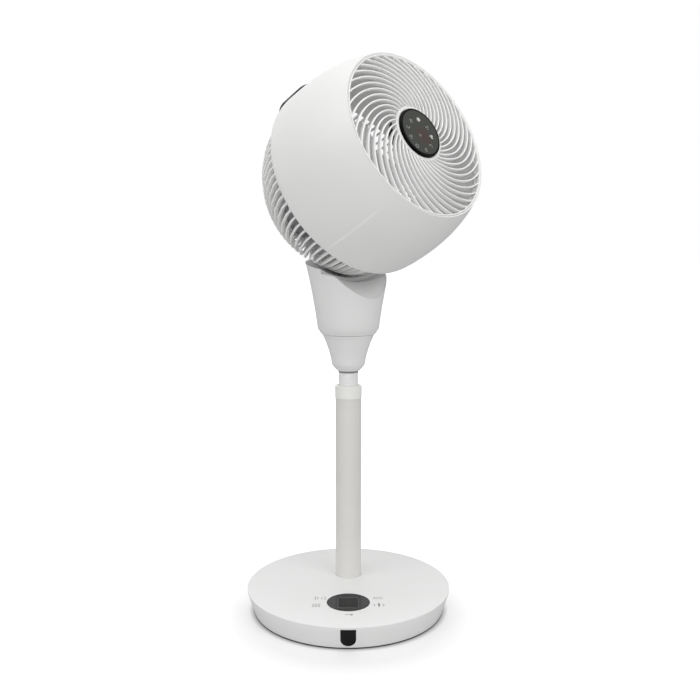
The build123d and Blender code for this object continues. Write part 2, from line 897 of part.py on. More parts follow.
# Smooth liner of the hollow, inside the shell, with a slot for the slide shoe.
shoe_slot = slot_width - 2 * track_gap + 1
with BuildPart() as neck_cradle:
    with BuildSketch(column_section):
        with BuildLine():
            lining = neck_side_curve(neck_wall + seat_gap)
            Polyline(
                lining @ 0,
                (0, neck_shoulder_height),
                (0, neck_rim_height),
                lining @ 1,
            )
        make_face()
    revolve(axis=column_line)
    add(cradle_outer, mode=Mode.INTERSECT)
    add(neck_hollow, mode=Mode.SUBTRACT)
    with BuildSketch(neck_side(0)):
        add(arc_band(trough_radius - 5, trough_radius + 2 * cradle_wall, shoe_low - 1, shoe_high + 1))
    extrude(amount=shoe_slot / 2, both=True, mode=Mode.SUBTRACT)
    with BuildSketch(neck_side(shoe_slot / 2 - 1)):
        with Locations(pinion_centre):
            Circle(track_module * (pinion_teeth / 2 + 1) + 1.5)
    extrude(amount=plate_side + carriage_plate + 1 - shoe_slot / 2 + 1, mode=Mode.SUBTRACT)
neck_cradle.part.label = "neck_cradle"
export_step(neck_cradle.part, "parts/neck_cradle.step")

# Inner frame: a disc on the shell's ledge with the bearing hub.
chassis_top = chassis_level + chassis_thickness
chassis_radius = housing_bottom_radius - neck_wall + 1.3
with BuildPart() as neck_chassis:
    with BuildSketch(column_level(chassis_level)):
        Circle(chassis_radius)
        with Locations((-planet_distance, 0)):
            Circle(gear_module * (planet_teeth / 2 + 1) + 1, mode=Mode.SUBTRACT)
    extrude(amount=chassis_thickness)
    with BuildSketch(column_level(deck_height + washer_thickness + 0.3)):
        Circle(hub_radius)
    extrude(amount=bearing_top - deck_height - washer_thickness - 0.3)
    with BuildSketch(column_level(bearing_bottom)):
        Circle(bearing_radius)
    extrude(amount=bearing_top, mode=Mode.SUBTRACT)
    with BuildSketch(column_level(deck_height)):
        Circle(spindle_radius + 1)
    extrude(amount=bearing_top - deck_height, mode=Mode.SUBTRACT)
neck_chassis.part.label = "neck_chassis"
export_step(neck_chassis.part, "parts/neck_chassis.step")

with BuildPart() as pan_bearing:
    with BuildSketch(column_level(bearing_bottom)):
        Circle(bearing_radius)
        Circle(spindle_radius + running_gap, mode=Mode.SUBTRACT)
    extrude(amount=bearing_top - bearing_bottom)
pan_bearing.part.label = "pan_bearing"
export_step(pan_bearing.part, "parts/pan_bearing.step")


def stepping_motor(bottom, centre):
    """Small geared motor standing on a plane, with two fixing ears."""
    with BuildPart() as motor:
        with BuildSketch(bottom):
            with Locations(centre):
                Circle(motor_radius)
        extrude(amount=motor_length)
        with BuildSketch(bottom):
            with Locations(centre):
                Circle(pinion_shaft + 0.5)
        extrude(amount=motor_length / 2, mode=Mode.SUBTRACT)
    return motor.part


# Pan motor on the frame, its shaft through the frame's hole.
with BuildPart() as pan_motor:
    add(stepping_motor(column_level(chassis_top), (-planet_distance, 0)))
pan_motor.part.label = "pan_motor"
export_step(pan_motor.part, "parts/pan_motor.step")

with BuildPart() as pan_pinion:
    with BuildSketch(column_level(deck_height + body_gap)):
        with Locations((-planet_distance, 0)):
            add(gear_face(planet_teeth, gear_module, 180 / planet_teeth))
    extrude(amount=gear_width)
    with BuildSketch(column_level(deck_height + body_gap)):
        with Locations((-planet_distance, 0)):
            Circle(pinion_shaft)
    extrude(amount=chassis_top - deck_height + motor_length / 3)
pan_pinion.part.label = "pan_pinion"
export_step(pan_pinion.part, "parts/pan_pinion.step")

bridge_outer = motor_distance + track_module * (pinion_teeth / 2 + 1) + 1 + carriage_plate
drive_span = (pinion_direction - drive_half_angle, pinion_direction + drive_half_angle)

# Carriage of the tilt drive: a T-shaped shoe that holds the track, a flange
# under the liner, and a side plate for the gears.
with BuildPart() as tilt_carriage:
    with BuildSketch(neck_side(0)):
        add(arc_band(slot_floor + track_gap, slot_lip - track_gap, shoe_low, shoe_high))
    extrude(amount=slot_inside / 2 - track_gap, both=True)
    with BuildSketch(neck_side(0)):
        add(arc_band(slot_lip - 1, flange_inner + carriage_foot, shoe_low, shoe_high))
        add(arc_band(flange_inner, bridge_outer, *drive_span))
    extrude(amount=shoe_neck, both=True)
    with BuildSketch(neck_side(2 - track_width / 2)):
        add(arc_band(flange_inner, flange_inner + carriage_foot, shoe_low, shoe_high))
    extrude(amount=track_width / 2 - 2 + shoe_neck)
    with BuildSketch(neck_side(0)):
        add(arc_band(bridge_outer - carriage_plate, bridge_outer, *drive_span))
    extrude(amount=plate_side + carriage_plate)
    with BuildSketch(neck_side(plate_side)):
        add(arc_band(pinion_distance, bridge_outer, *drive_span))
        with Locations(pinion_centre):
            Circle(pinion_shaft + 3.5)
            Circle(pinion_shaft + running_gap, mode=Mode.SUBTRACT)
        with Locations(motor_centre):
            Circle(pinion_shaft + 0.5, mode=Mode.SUBTRACT)
    extrude(amount=carriage_plate)
    with BuildSketch(neck_side(-shoe_neck - 1)):
        with Locations(pinion_centre):
            Circle(pinion_shaft + running_gap)
    extrude(amount=2 * shoe_neck + 2, mode=Mode.SUBTRACT)
tilt_carriage.part.label = "tilt_carriage"
export_step(tilt_carriage.part, "parts/tilt_carriage.step")

with BuildPart() as tilt_motor:
    add(stepping_motor(neck_side(plate_side + carriage_plate), motor_centre))
tilt_motor.part.label = "tilt_motor"
export_step(tilt_motor.part, "parts/tilt_motor.step")

# Pinion between the track and the motor's gear, on its own axle.
with BuildPart() as tilt_pinion:
    with BuildSketch(neck_side(tooth_offset)):
        with Locations(pinion_centre):
            add(gear_face(pinion_teeth, track_module, pinion_direction + 180 + 180 / pinion_teeth))
    extrude(amount=tooth_band)
    with BuildSketch(neck_side(-shoe_neck)):
        with Locations(pinion_centre):
            Circle(pinion_shaft)
    extrude(amount=plate_side + carriage_plate + shoe_neck - 0.3)
tilt_pinion.part.label = "tilt_pinion"
export_step(tilt_pinion.part, "parts/tilt_pinion.step")

with BuildPart() as tilt_motor_gear:
    with BuildSketch(neck_side(tooth_offset)):
        with Locations(motor_centre):
            add(gear_face(pinion_teeth, track_module, pinion_direction + 180))
    extrude(amount=tooth_band)
    with BuildSketch(neck_side(tooth_offset)):
        with Locations(motor_centre):
            Circle(pinion_shaft)
    extrude(amount=plate_side + carriage_plate - tooth_offset + motor_length / 3)
tilt_motor_gear.part.label = "tilt_motor_gear"
export_step(tilt_motor_gear.part, "parts/tilt_motor_gear.step")

# ================================================================ the head
waist_ahead = rim_ahead - shroud_waist
lip_ahead = rim_ahead - shroud_lip

# Barrel-shaped shroud, thicker rim at the front, turned-in lip at the back.
with BuildPart() as shroud:
    with BuildSketch(head_section):
        with BuildLine():
            Polyline(
                *shroud_curve(0, rim_ahead, waist_ahead, 9),
                (shroud_lip_radius + 0.9, (waist_ahead + lip_ahead) / 2),
                (shroud_lip_radius, lip_ahead),
                (shroud_lip_radius - shroud_wall, lip_ahead),
                *shroud_curve(-shroud_wall, waist_ahead, rim_ahead, 6),
                close=True,
            )
        make_face()
    revolve(axis=fan_line)
shroud.part.label = "shroud"
export_step(shroud.part, "parts/shroud.step")


def crown(radius):
    """Height of the front grille's face above the rim plane."""
    span = crown_inner_span if radius < crown_radius else crown_outer_span
    return crown_height * (1 - ((radius - crown_radius) / span) ** 2)


ring_outer = rim_radius - shroud_wall - seat_gap
ring_inner = ring_outer - grille_ring_width
rib_start = hub_ring_radius - 1
rib_end = ring_inner + 1.5

# One spiral rib of the front grille, as a loft through upright rectangles.
with BuildPart() as front_rib:
    for step in range(rib_steps):
        rib_radius = rib_start + (rib_end - rib_start) * step / (rib_steps - 1)
        clock = rib_phase + rib_twist * (rib_radius - rib_start)
        slant = radians(rib_twist) * rib_radius
        outward = head_point(1, clock, 0) - tilt_centre
        round_about = head_point(1, clock + 90, 0) - tilt_centre
        along = (outward + round_about * slant).normalized()
        middle = head_point(rib_radius, clock, rim_ahead + crown(rib_radius) - rib_depth / 2)
        with BuildSketch(Plane(origin=middle, x_dir=fan_axis.cross(along), z_dir=along)):
            Rectangle(rib_thickness, rib_depth)
    loft(ruled=True)

# Front grille: outer ring, hub ring and the spiral ribs.
with BuildPart() as front_grille:
    with BuildSketch(head_section):
        with Locations((ring_outer - grille_ring_width / 2, rim_ahead - grille_ring_depth / 2)):
            Rectangle(grille_ring_width, grille_ring_depth)
        with Locations(((hub_ring_radius + panel_radius) / 2 + 0.25, rim_ahead - grille_ring_depth / 2 + 0.5)):
            Rectangle(hub_ring_radius - panel_radius - 0.5, grille_ring_depth + 2)
    revolve(axis=fan_line)
    add([front_rib.part.rotate(fan_line, index * 360 / front_ribs) for index in range(front_ribs)])
front_grille.part.label = "front_grille"
export_step(front_grille.part, "parts/front_grille.step")

# Inner duct behind the front grille, hung from a flange.
duct_front = rim_ahead - grille_ring_depth - seat_gap
duct_flange_radius = shroud_radius(duct_front - duct_wall) - shroud_wall - seat_gap
with BuildPart() as air_duct:
    with BuildSketch(head_section):
        with BuildLine():
            Polyline(
                (duct_radius - duct_wall, duct_front),
                (ring_outer, duct_front),
                (duct_flange_radius - 1, duct_front - duct_wall),
                (duct_radius, duct_front - duct_wall - 1),
                (duct_radius, duct_front - duct_length),
                (duct_radius - duct_wall, duct_front - duct_length),
                close=True,
            )
        make_face()
    revolve(axis=fan_line)
air_duct.part.label = "air_duct"
export_step(air_duct.part, "parts/air_duct.step")

# One curved blade of the rear grille, standing across the dome.
dome_middle = dome_radius - dome_depth / 2
with BuildPart() as rear_rib:
    for step in range(rear_rib_steps):
        share = step / (rear_rib_steps - 1)
        polar = rear_hub_angle - 1 + (rear_lip_angle + 1.5 - rear_hub_angle) * share
        polar_next = polar + 0.5
        clock = rear_rib_phase + rear_rib_curl * (rear_lip_angle - polar) ** 2
        clock_next = rear_rib_phase + rear_rib_curl * (rear_lip_angle - polar_next) ** 2
        here = head_point(dome_middle * sin(radians(polar)), clock, -dome_middle * cos(radians(polar)))
        beyond = head_point(
            dome_middle * sin(radians(polar_next)), clock_next, -dome_middle * cos(radians(polar_next))
        )
        out_of_dome = (here - tilt_centre).normalized()
        along = (beyond - here).normalized()
        with BuildSketch(Plane(origin=here, x_dir=out_of_dome.cross(along), z_dir=along)):
            Rectangle(rear_rib_thickness, dome_depth)
    loft(ruled=True)

rear_rib_count = rear_ribs_per_front_rib * front_ribs
lip_seat = shroud_lip_radius - shroud_wall - seat_gap
dome_edge = sqrt(dome_radius ** 2 - lip_ahead ** 2)

# Rear grille: dome of blades between a flanged ring and a hub, open for the track.
with BuildPart() as rear_grille:
    with BuildSketch(head_section):
        with BuildLine():
            Polyline(
                (dome_edge - dome_depth, lip_ahead),
                (lip_seat, lip_ahead),
                (lip_seat, lip_ahead + 3),
                (dome_radius, lip_ahead + 3),
                (dome_radius - dome_depth, lip_ahead + rear_ring_width),
                close=True,
            )
        make_face()
    revolve(axis=fan_line)
    with BuildSketch(head_section):
        add(arc_band(dome_radius - dome_depth, dome_radius, -90, rear_hub_angle - 90))
    revolve(axis=fan_line)
    add([rear_rib.part.rotate(fan_line, index * 360 / rear_rib_count) for index in range(rear_rib_count)])
    with BuildSketch(head_side(0)):
        add(arc_band(dome_radius - dome_depth, dome_radius, track_low - 1.6, track_high + 1.6))
    extrude(amount=track_width / 2 + rear_rail_width, both=True)
    with BuildSketch(head_side(0)):
        add(arc_band(track_inner - 4, track_outer + 4, track_low - 0.1, track_high + 0.1))
    extrude(amount=track_width / 2 + seat_gap, both=True, mode=Mode.SUBTRACT)
rear_grille.part.label = "rear_grille"
export_step(rear_grille.part, "parts/rear_grille.step")


def rack_outline():
    """Band of the track with its outward teeth, in the head's side plane."""
    pitch_angle = 360 / track_teeth
    mesh = pinion_direction + tilt_rest
    first = int((track_low + 1.2 - mesh) / pitch_angle)
    last = int((track_high - 1.2 - mesh) / pitch_angle)
    points = []
    for index in range(first, last + 1):
        points += tooth_points(track_teeth, track_module, mesh + index * pitch_angle)
    root = track_module * (track_teeth / 2 - 1.15)
    with BuildSketch() as rack:
        with BuildLine():
            start = direction(track_low) * root
            finish = direction(track_high) * root
            Polyline((start.X, start.Y), *points, (finish.X, finish.Y))
            low = CenterArc((0, 0), slot_lip - 0.5, track_low, track_high - track_low)
            Line(start, low @ 0)
            Line(finish, low @ 1)
        make_face()
    return rack.sketch


# Curved track in the head's middle plane: a T slot for the shoe and a toothed band.
with BuildPart() as tilt_track:
    with BuildSketch(head_side(-track_width / 2)):
        add(arc_band(track_inner, track_outer, track_low, track_high))
    extrude(amount=track_width / 2 + tooth_offset)
    with BuildSketch(head_side(tooth_offset)):
        add(arc_band(track_inner, slot_lip, track_low, track_high))
    extrude(amount=track_width / 2 - tooth_offset)
    with BuildSketch(head_side(tooth_offset)):
        add(rack_outline())
    extrude(amount=track_width / 2 - tooth_offset)
    with BuildSketch(head_side(0)):
        add(arc_band(slot_floor, slot_lip, track_low - 1, track_high + 1))
    extrude(amount=slot_inside / 2, both=True, mode=Mode.SUBTRACT)
    with BuildSketch(head_side(0)):
        add(arc_band(slot_lip - 1, track_outer + 1, track_low - 1, track_high + 1))
    extrude(amount=slot_width / 2, both=True, mode=Mode.SUBTRACT)
tilt_track.part.label = "tilt_track"
export_step(tilt_track.part, "parts/tilt_track.step")

# Cup that carries the motor from the rear grille's hub.
mount_foot = sqrt((dome_radius - dome_depth - 0.4) ** 2 - mount_foot_radius ** 2)
with BuildPart() as motor_mount:
    with BuildSketch(head_section):
        with BuildLine():
            Polyline(
                (mount_foot_radius, -mount_foot),
                (fan_motor_radius + mount_wall, seat_gap - fan_motor_back),
                (fan_motor_radius + mount_wall, 12 - fan_motor_back),
                (fan_motor_radius + seat_gap, 12 - fan_motor_back),
                (fan_motor_radius + seat_gap, -fan_motor_back),
                (motor_boss_radius, -fan_motor_back),
                (motor_boss_radius, -fan_motor_back - mount_wall),
                (fan_motor_radius - mount_wall, -fan_motor_back - mount_wall),
                (mount_foot_radius - mount_wall - 2, -mount_foot - 0.8),
                close=True,
            )
        make_face()
    revolve(axis=fan_line)
    with BuildSketch(head_side(0)):
        add(arc_band(track_inner - seat_gap, track_outer, track_low, track_high))
    extrude(amount=track_width / 2 + 2 * seat_gap, both=True, mode=Mode.SUBTRACT)
motor_mount.part.label = "motor_mount"
export_step(motor_mount.part, "parts/motor_mount.step")

motor_front = fan_motor_length - fan_motor_back
with BuildPart() as fan_motor:
    with BuildSketch(head_section):
        with BuildLine():
            Polyline(
                (shaft_radius + running_gap, -fan_motor_back),
                (fan_motor_radius, -fan_motor_back),
                (fan_motor_radius, motor_front - fan_motor_edge),
                (fan_motor_radius - fan_motor_edge, motor_front),
                (motor_boss_radius, motor_front),
                (motor_boss_radius, motor_front + motor_boss_length),
                (shaft_radius + running_gap, motor_front + motor_boss_length),
                close=True,
            )
        make_face()
    revolve(axis=fan_line)
fan_motor.part.label = "fan_motor"
export_step(fan_motor.part, "parts/fan_motor.step")

# Cup, board and dark glass of the control panel in the grille's hub ring.
cup_back = rim_ahead - panel_cup_depth
panel_back = rim_ahead + panel_ahead - panel_thickness
with BuildPart() as panel_housing:
    with BuildSketch(head_disc(cup_back)):
        Circle(panel_radius + seat_gap)
    extrude(amount=panel_back - cup_back)
    with BuildSketch(head_disc(cup_back + 2)):
        Circle(panel_radius - 2)
    extrude(amount=panel_cup_depth, mode=Mode.SUBTRACT)
    with BuildSketch(head_disc(cup_back)):
        with PolarLocations(panel_radius - 6, 4, 45):
            Circle(3)
    extrude(amount=panel_back - 4 - cup_back)
panel_housing.part.label = "panel_housing"
export_step(panel_housing.part, "parts/panel_housing.step")

with BuildPart() as panel_board:
    with BuildSketch(head_disc(panel_back - 4)):
        Circle(panel_radius - 2.5)
    extrude(amount=board_thickness)
panel_board.part.label = "panel_board"
export_step(panel_board.part, "parts/panel_board.step")

with BuildPart() as control_panel:
    with BuildSketch(head_disc(panel_back)):
        Circle(panel_radius)
    extrude(amount=panel_thickness)
    chamfer(control_panel.edges().group_by(fan_line)[-1], 0.6)
control_panel.part.label = "control_panel"
export_step(control_panel.part, "parts/control_panel.step")

# Carrying handle over the rear grille: a strap with a rear leg, and its grip.
handle_low = handle_top - handle_thickness
handle_shoulder = handle_slope + handle_leg - handle_front
with BuildPart() as carry_handle:
    with BuildSketch(head_side(0)) as handle_face:
        with BuildLine():
            Polyline(
                (-handle_front, rim_radius),
                (-handle_front, handle_root),
                (handle_slope - handle_front, handle_top),
                (handle_back, handle_top),
                (handle_back, handle_foot_radius),
                (handle_back - handle_leg, handle_foot_radius),
                (handle_back - handle_leg, handle_low),
                (handle_shoulder, handle_low),
                (handle_foot - handle_front, handle_root),
                (handle_foot - handle_front, rim_radius),
                close=True,
            )
        make_face()
        fillet(handle_face.vertices().group_by(Axis.Y)[-1], handle_round)
    extrude(amount=handle_width / 2, both=True)
    with Locations(tilt_centre):
        Sphere(dome_radius + seat_gap, mode=Mode.SUBTRACT)
    with BuildSketch(head_section):
        with BuildLine():
            Polyline(
                *shroud_curve(seat_gap, rim_ahead, waist_ahead, 9),
                (shroud_radius(waist_ahead) + seat_gap, lip_ahead - seat_gap),
                (0, lip_ahead - seat_gap),
                (0, rim_ahead),
                close=True,
            )
        make_face()
    revolve(axis=fan_line, mode=Mode.SUBTRACT)
carry_handle.part.label = "carry_handle"
export_step(carry_handle.part, "parts/carry_handle.step")

with BuildPart() as handle_grip:
    with BuildSketch(head_side(0)):
        with BuildLine():
            Polyline(
                (handle_shoulder + 1, handle_low),
                (handle_back - handle_leg - seat_gap, handle_low),
                (handle_back - handle_leg - seat_gap, handle_low - grip_thickness),
                (handle_shoulder + 1 + grip_thickness, handle_low - grip_thickness),
                close=True,
            )
        make_face()
    extrude(amount=handle_width / 2, both=True)
handle_grip.part.label = "handle_grip"
export_step(handle_grip.part, "parts/handle_grip.step")

# ============================================================= the impeller
hub_front = hub_length - impeller_back
with BuildPart() as blade:
    for share in (0, 0.35, 0.7, 1):
        radius = impeller_hub_radius - 2 + (blade_tip_radius - impeller_hub_radius + 2) * share
        chord = blade_root_chord + (blade_tip_chord - blade_root_chord) * share
        pitch = radians(blade_root_pitch + (blade_tip_pitch - blade_root_pitch) * share)
        clock = blade_sweep * share ** 2
        outward = head_point(1, clock, 0) - tilt_centre
        section = Plane(
            origin=head_point(radius, clock, hub_front - hub_length / 2),
            x_dir=fan_axis.cross(outward) * -1,
            z_dir=outward * -1,
        )
        lead = Vector(cos(pitch), sin(pitch)) * (chord / 2)
        bow = Vector(-sin(pitch), cos(pitch)) * (chord * blade_camber)
        skin = Vector(-sin(pitch), cos(pitch)) * blade_thickness
        camber = steps_along(lead * -1, bow, lead, 4)
        with BuildSketch(section):
            with BuildLine():
                Polyline(*camber, *[point + skin for point in reversed(camber)], close=True)
            make_face()
    loft(ruled=True)

# Hub with a rounded nose, hollow behind, and its blades.
with BuildPart() as impeller:
    add([blade.part.rotate(fan_line, index * 360 / blade_count) for index in range(blade_count)])
    with BuildSketch(head_section):
        with BuildLine():
            Polyline(
                (impeller_hub_radius, -impeller_back),
                (0, -impeller_back),
                (0, hub_front),
                (impeller_hub_radius - nose_round, hub_front),
                (impeller_hub_radius - 0.3 * nose_round, hub_front - 0.3 * nose_round),
                (impeller_hub_radius, hub_front - nose_round),
                close=True,
            )
        make_face()
    revolve(axis=fan_line)
    with BuildSketch(head_disc(-impeller_back)):
        Circle(impeller_hub_radius - hub_skin)
        Circle(shaft_radius + 5, mode=Mode.SUBTRACT)
    extrude(amount=hub_length - hub_skin - 4, mode=Mode.SUBTRACT)
    with BuildSketch(head_disc(-impeller_back)):
        Circle(shaft_radius + seat_gap)
    extrude(amount=hub_length, mode=Mode.SUBTRACT)
impeller.part.label = "impeller"
export_step(impeller.part, "parts/impeller.step")

with BuildPart() as motor_shaft:
    with BuildSketch(head_disc(2 - fan_motor_back)):
        Circle(shaft_radius)
    extrude(amount=fan_motor_back - 2 + shaft_front)
motor_shaft.part.label = "motor_shaft"
export_step(motor_shaft.part, "parts/motor_shaft.step")

# Left-hand nut that holds the impeller on the shaft.
with BuildPart() as impeller_nut:
    with BuildSketch(head_section):
        with BuildLine():
            Polyline(
                (shaft_radius, hub_front),
                (nut_radius, hub_front),
                (nut_radius - 2, hub_front + nut_height),
                (0, hub_front + nut_height + 3),
                (0, shaft_front),
                (shaft_radius, shaft_front),
                close=True,
            )
        make_face()
    revolve(axis=fan_line)
impeller_nut.part.label = "impeller_nut"
export_step(impeller_nut.part, "parts/impeller_nut.step")
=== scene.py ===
import math
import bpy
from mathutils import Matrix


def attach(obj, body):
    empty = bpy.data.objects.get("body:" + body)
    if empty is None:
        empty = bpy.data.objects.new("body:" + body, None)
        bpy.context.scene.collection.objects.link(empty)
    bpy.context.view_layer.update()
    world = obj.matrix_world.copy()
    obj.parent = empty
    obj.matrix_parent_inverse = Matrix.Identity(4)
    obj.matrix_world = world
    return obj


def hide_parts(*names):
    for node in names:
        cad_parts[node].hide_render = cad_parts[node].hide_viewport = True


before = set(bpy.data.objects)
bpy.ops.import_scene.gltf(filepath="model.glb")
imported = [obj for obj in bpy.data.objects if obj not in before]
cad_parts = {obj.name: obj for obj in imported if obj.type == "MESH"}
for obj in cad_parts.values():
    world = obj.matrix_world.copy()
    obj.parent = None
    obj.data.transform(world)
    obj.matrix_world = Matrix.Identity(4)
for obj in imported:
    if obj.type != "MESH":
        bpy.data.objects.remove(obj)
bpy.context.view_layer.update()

from types import SimpleNamespace
import bmesh
import bpy
from mathutils import Matrix, Vector
from mathutils.geometry import interpolate_bezier

# Lengths are in millimetres, apart from those of the floor, the lamps and the camera.
MM = 0.001
WELD = 0.01 * MM

# The head's directions at rest, panned to the right and tilted up, as in the CAD frame.
PAN = math.radians(43.8)
TILT = math.radians(24.3)
UP = Vector((0, 0, 1))
FORWARD = Vector((math.sin(PAN), -math.cos(PAN), 0))
LATERAL = Vector((math.cos(PAN), math.sin(PAN), 0))
FAN_AXIS = FORWARD * math.cos(TILT) + UP * math.sin(TILT)
HEAD_UP = UP * math.cos(TILT) - FORWARD * math.sin(TILT)

# The column stands behind the base's middle, the tilt centre lies ahead of the
# column, and the shroud's rim and the touch panel's face lie ahead of the tilt centre.
BASE_HEIGHT = 39.0
COLUMN_BACK = 41
TILT_HEIGHT = 693.2
TILT_AHEAD = 21.1
TILT_CENTRE = Vector((0, COLUMN_BACK, TILT_HEIGHT)) + FORWARD * TILT_AHEAD
RIM_AHEAD = 139.5
PANEL_AHEAD = RIM_AHEAD + 5.3


def placed(origin, x_axis, z_axis):
    """Matrix from a drawing in millimetres to the frame's metres."""
    y_axis = z_axis.cross(x_axis)
    turn = Matrix((x_axis, y_axis, z_axis)).transposed().to_4x4()
    return Matrix.Scale(MM, 4) @ Matrix.Translation(origin) @ turn


# Head drawing space: x lateral, y head up, z along the fan axis from the tilt centre.
HEAD = placed(TILT_CENTRE, LATERAL, FAN_AXIS)
BASE_TOP = placed(Vector((0, 0, BASE_HEIGHT)), Vector((1, 0, 0)), UP)
PANEL_FACE = HEAD @ Matrix.Translation((0, 0, PANEL_AHEAD))


# ------------------------------------------------------------------ materials
def srgb(code):
    """Linear RGBA of an sRGB hex colour."""
    channels = [int(code[i:i + 2], 16) / 255 for i in (0, 2, 4)]
    linear = [c / 12.92 if c <= 0.04045 else ((c + 0.055) / 1.055) ** 2.4 for c in channels]
    return (*linear, 1.0)


def add_node(tree, kind, inputs=(), **settings):
    """Adds a node with its settings. Inputs are values, hex colours, or nodes and sockets to link from."""
    node = tree.nodes.new(kind)
    for key, value in settings.items():
        setattr(node, key, value)
    for name, value in dict(inputs).items():
        if isinstance(value, bpy.types.Node):
            value = next(socket for socket in value.outputs if socket.enabled)
        if isinstance(value, bpy.types.NodeSocket):
            tree.links.new(value, node.inputs[name])
        elif isinstance(value, str):
            node.inputs[name].default_value = srgb(value)
        else:
            node.inputs[name].default_value = value
    return node


def blank_material(name):
    """A material with only a shader and an output."""
    material = bpy.data.materials.new(name)
    material.use_nodes = True
    tree = material.node_tree
    tree.nodes.clear()
    shader = add_node(tree, "ShaderNodeBsdfPrincipled")
    output = add_node(tree, "ShaderNodeOutputMaterial", {0: shader})
    return material, tree, shader, output


# Most values of a noise lie between these two.
NOISE_LOW = 0.3
NOISE_HIGH = 0.7


def grained(name, colour, shade, roughness, grain, depth, ior=1.5, cloud=60.0, spread=0.08,
            edge=0.5, stretch=None, fixed=()):
    """Finish with a fine grain, eased edges and a slow drift of colour, in millimetres.

    The roughness varies with the grain by spread either way. Stretch gives drawn or turned
    marks their direction, and fixed holds the shader's other settings.
    """
    material, tree, shader, _ = blank_material(name)
    coords = add_node(tree, "ShaderNodeTexCoord").outputs["Object"]
    place = coords
    if stretch:
        place = add_node(tree, "ShaderNodeMapping", {"Vector": coords, "Scale": stretch})
    drift = add_node(tree, "ShaderNodeTexNoise", {"Vector": place, "Scale": 1 / (cloud * MM), "Detail": 3.0})
    fine = add_node(tree, "ShaderNodeTexNoise", {"Vector": place, "Scale": 1 / (grain * MM), "Detail": 2.0})
    clouded = add_node(tree, "ShaderNodeMix", {0: drift, 6: colour, 7: shade}, data_type="RGBA")
    gloss = add_node(tree, "ShaderNodeMapRange", {
        "Value": fine, "From Min": NOISE_LOW, "From Max": NOISE_HIGH,
        "To Min": roughness - spread, "To Max": roughness + spread,
    })
    eased = add_node(tree, "ShaderNodeBevel", {"Radius": edge * MM}, samples=6)
    bump = add_node(tree, "ShaderNodeBump", {
        "Strength": 0.35, "Distance": depth * MM, "Height": fine, "Normal": eased,
    })
    tree.links.new(clouded.outputs[2], shader.inputs["Base Color"])
    tree.links.new(gloss.outputs[0], shader.inputs["Roughness"])
    tree.links.new(bump.outputs[0], shader.inputs["Normal"])
    shader.inputs["IOR"].default_value = ior
    for socket, value in dict(fixed).items():
        shader.inputs[socket].default_value = value
    return SimpleNamespace(material=material, tree=tree, shader=shader, coords=coords)


def paint_over(finish, share, colour):
    """Lays a colour over a finish where a pattern's share is 1."""
    base = finish.shader.inputs["Base Color"]
    under = base.links[0].from_socket
    both = add_node(finish.tree, "ShaderNodeMix", {0: share, 6: under, 7: colour}, data_type="RGBA")
    finish.tree.links.new(both.outputs[2], base)


def raise_over(finish, height, strength):
    """Raises a pattern by up to 0.3 mm over a finish's own grain."""
    normal = finish.shader.inputs["Normal"]
    bump = add_node(finish.tree, "ShaderNodeBump", {
        "Strength": strength, "Distance": 0.3 * MM, "Height": height,
        "Normal": normal.links[0].from_socket,
    })
    finish.tree.links.new(bump.outputs[0], normal)


def head_distances(finish, *directions):
    """Distances from the tilt centre along directions, in metres."""
    shifted = add_node(finish.tree, "ShaderNodeVectorMath", {0: finish.coords, 1: TILT_CENTRE * MM},
                       operation="SUBTRACT")
    return [add_node(finish.tree, "ShaderNodeVectorMath", {0: shifted, 1: direction}, operation="DOT_PRODUCT")
            for direction in directions]


def within(tree, value, centre, half, edge):
    """1 where a coordinate is within half a side of a centre, with a soft edge, in millimetres."""
    offset = add_node(tree, "ShaderNodeMath", {0: value, 1: centre * MM}, operation="SUBTRACT")
    away = add_node(tree, "ShaderNodeMath", {0: offset}, operation="ABSOLUTE")
    return add_node(tree, "ShaderNodeMapRange", {
        "Value": away, "From Min": (half - edge) * MM, "From Max": (half + edge) * MM,
        "To Min": 1.0, "To Max": 0.0,
    })


def patch(tree, x, y, middle, half, edges):
    """1 inside a soft-edged rectangle of the given middle and half sides, in millimetres."""
    sides = [within(tree, value, *sizes) for value, sizes in zip((x, y), zip(middle, half, edges))]
    return add_node(tree, "ShaderNodeMath", {0: sides[0], 1: sides[1]}, operation="MULTIPLY")


# Textures finer than the render can show, such as spark erosion, fibre, ink and
# drawing marks, are really a tenth of a millimetre or less. They are drawn 0.5 to
# 1.4 mm wide and shallow. Peel, waviness, sand skin and weave have their real size.

# Index of refraction of each plastic and rubber.
ABS_IOR = 1.53
ACETAL_IOR = 1.48
ACRYLIC_IOR = 1.49
EPOXY_IOR = 1.55
NYLON_IOR = 1.53
POLYPROPYLENE_IOR = 1.49
RUBBER_IOR = 1.52

# ABS moulded in a spark-eroded tool: satin white, its texture drawn 0.9 mm wide.
white_abs = grained("white_moulded_abs", "F8F8F8", "F5F5F4", roughness=0.42, grain=0.9, depth=0.02,
                    ior=ABS_IOR)

# The same ABS for the neck, a slightly greyer batch with broader edge radii.
neck_abs = grained("neck_moulded_abs", "EEEEED", "E8E8E8", roughness=0.45, grain=0.9, depth=0.02,
                   ior=ABS_IOR, edge=1.5)

# Ribs from a polished tool, whiter and a little glossier than the shells. They
# are thin enough to let some light through.
rib_abs = grained("rib_polished_abs", "FAFAF9", "F6F6F5", roughness=0.34, grain=1.4, depth=0.012,
                  ior=ABS_IOR, edge=0.3, fixed={
                      "Subsurface Weight": 0.15, "Subsurface Radius": (1.0, 1.0, 1.0),
                      "Subsurface Scale": 2 * MM,
                  })

# Powder coat on the steel column: warm grey-white with a slight orange peel.
column_coat = grained("column_powder_coat", "E7E6E2", "E0DFDB", roughness=0.38, grain=1.8, depth=0.03)

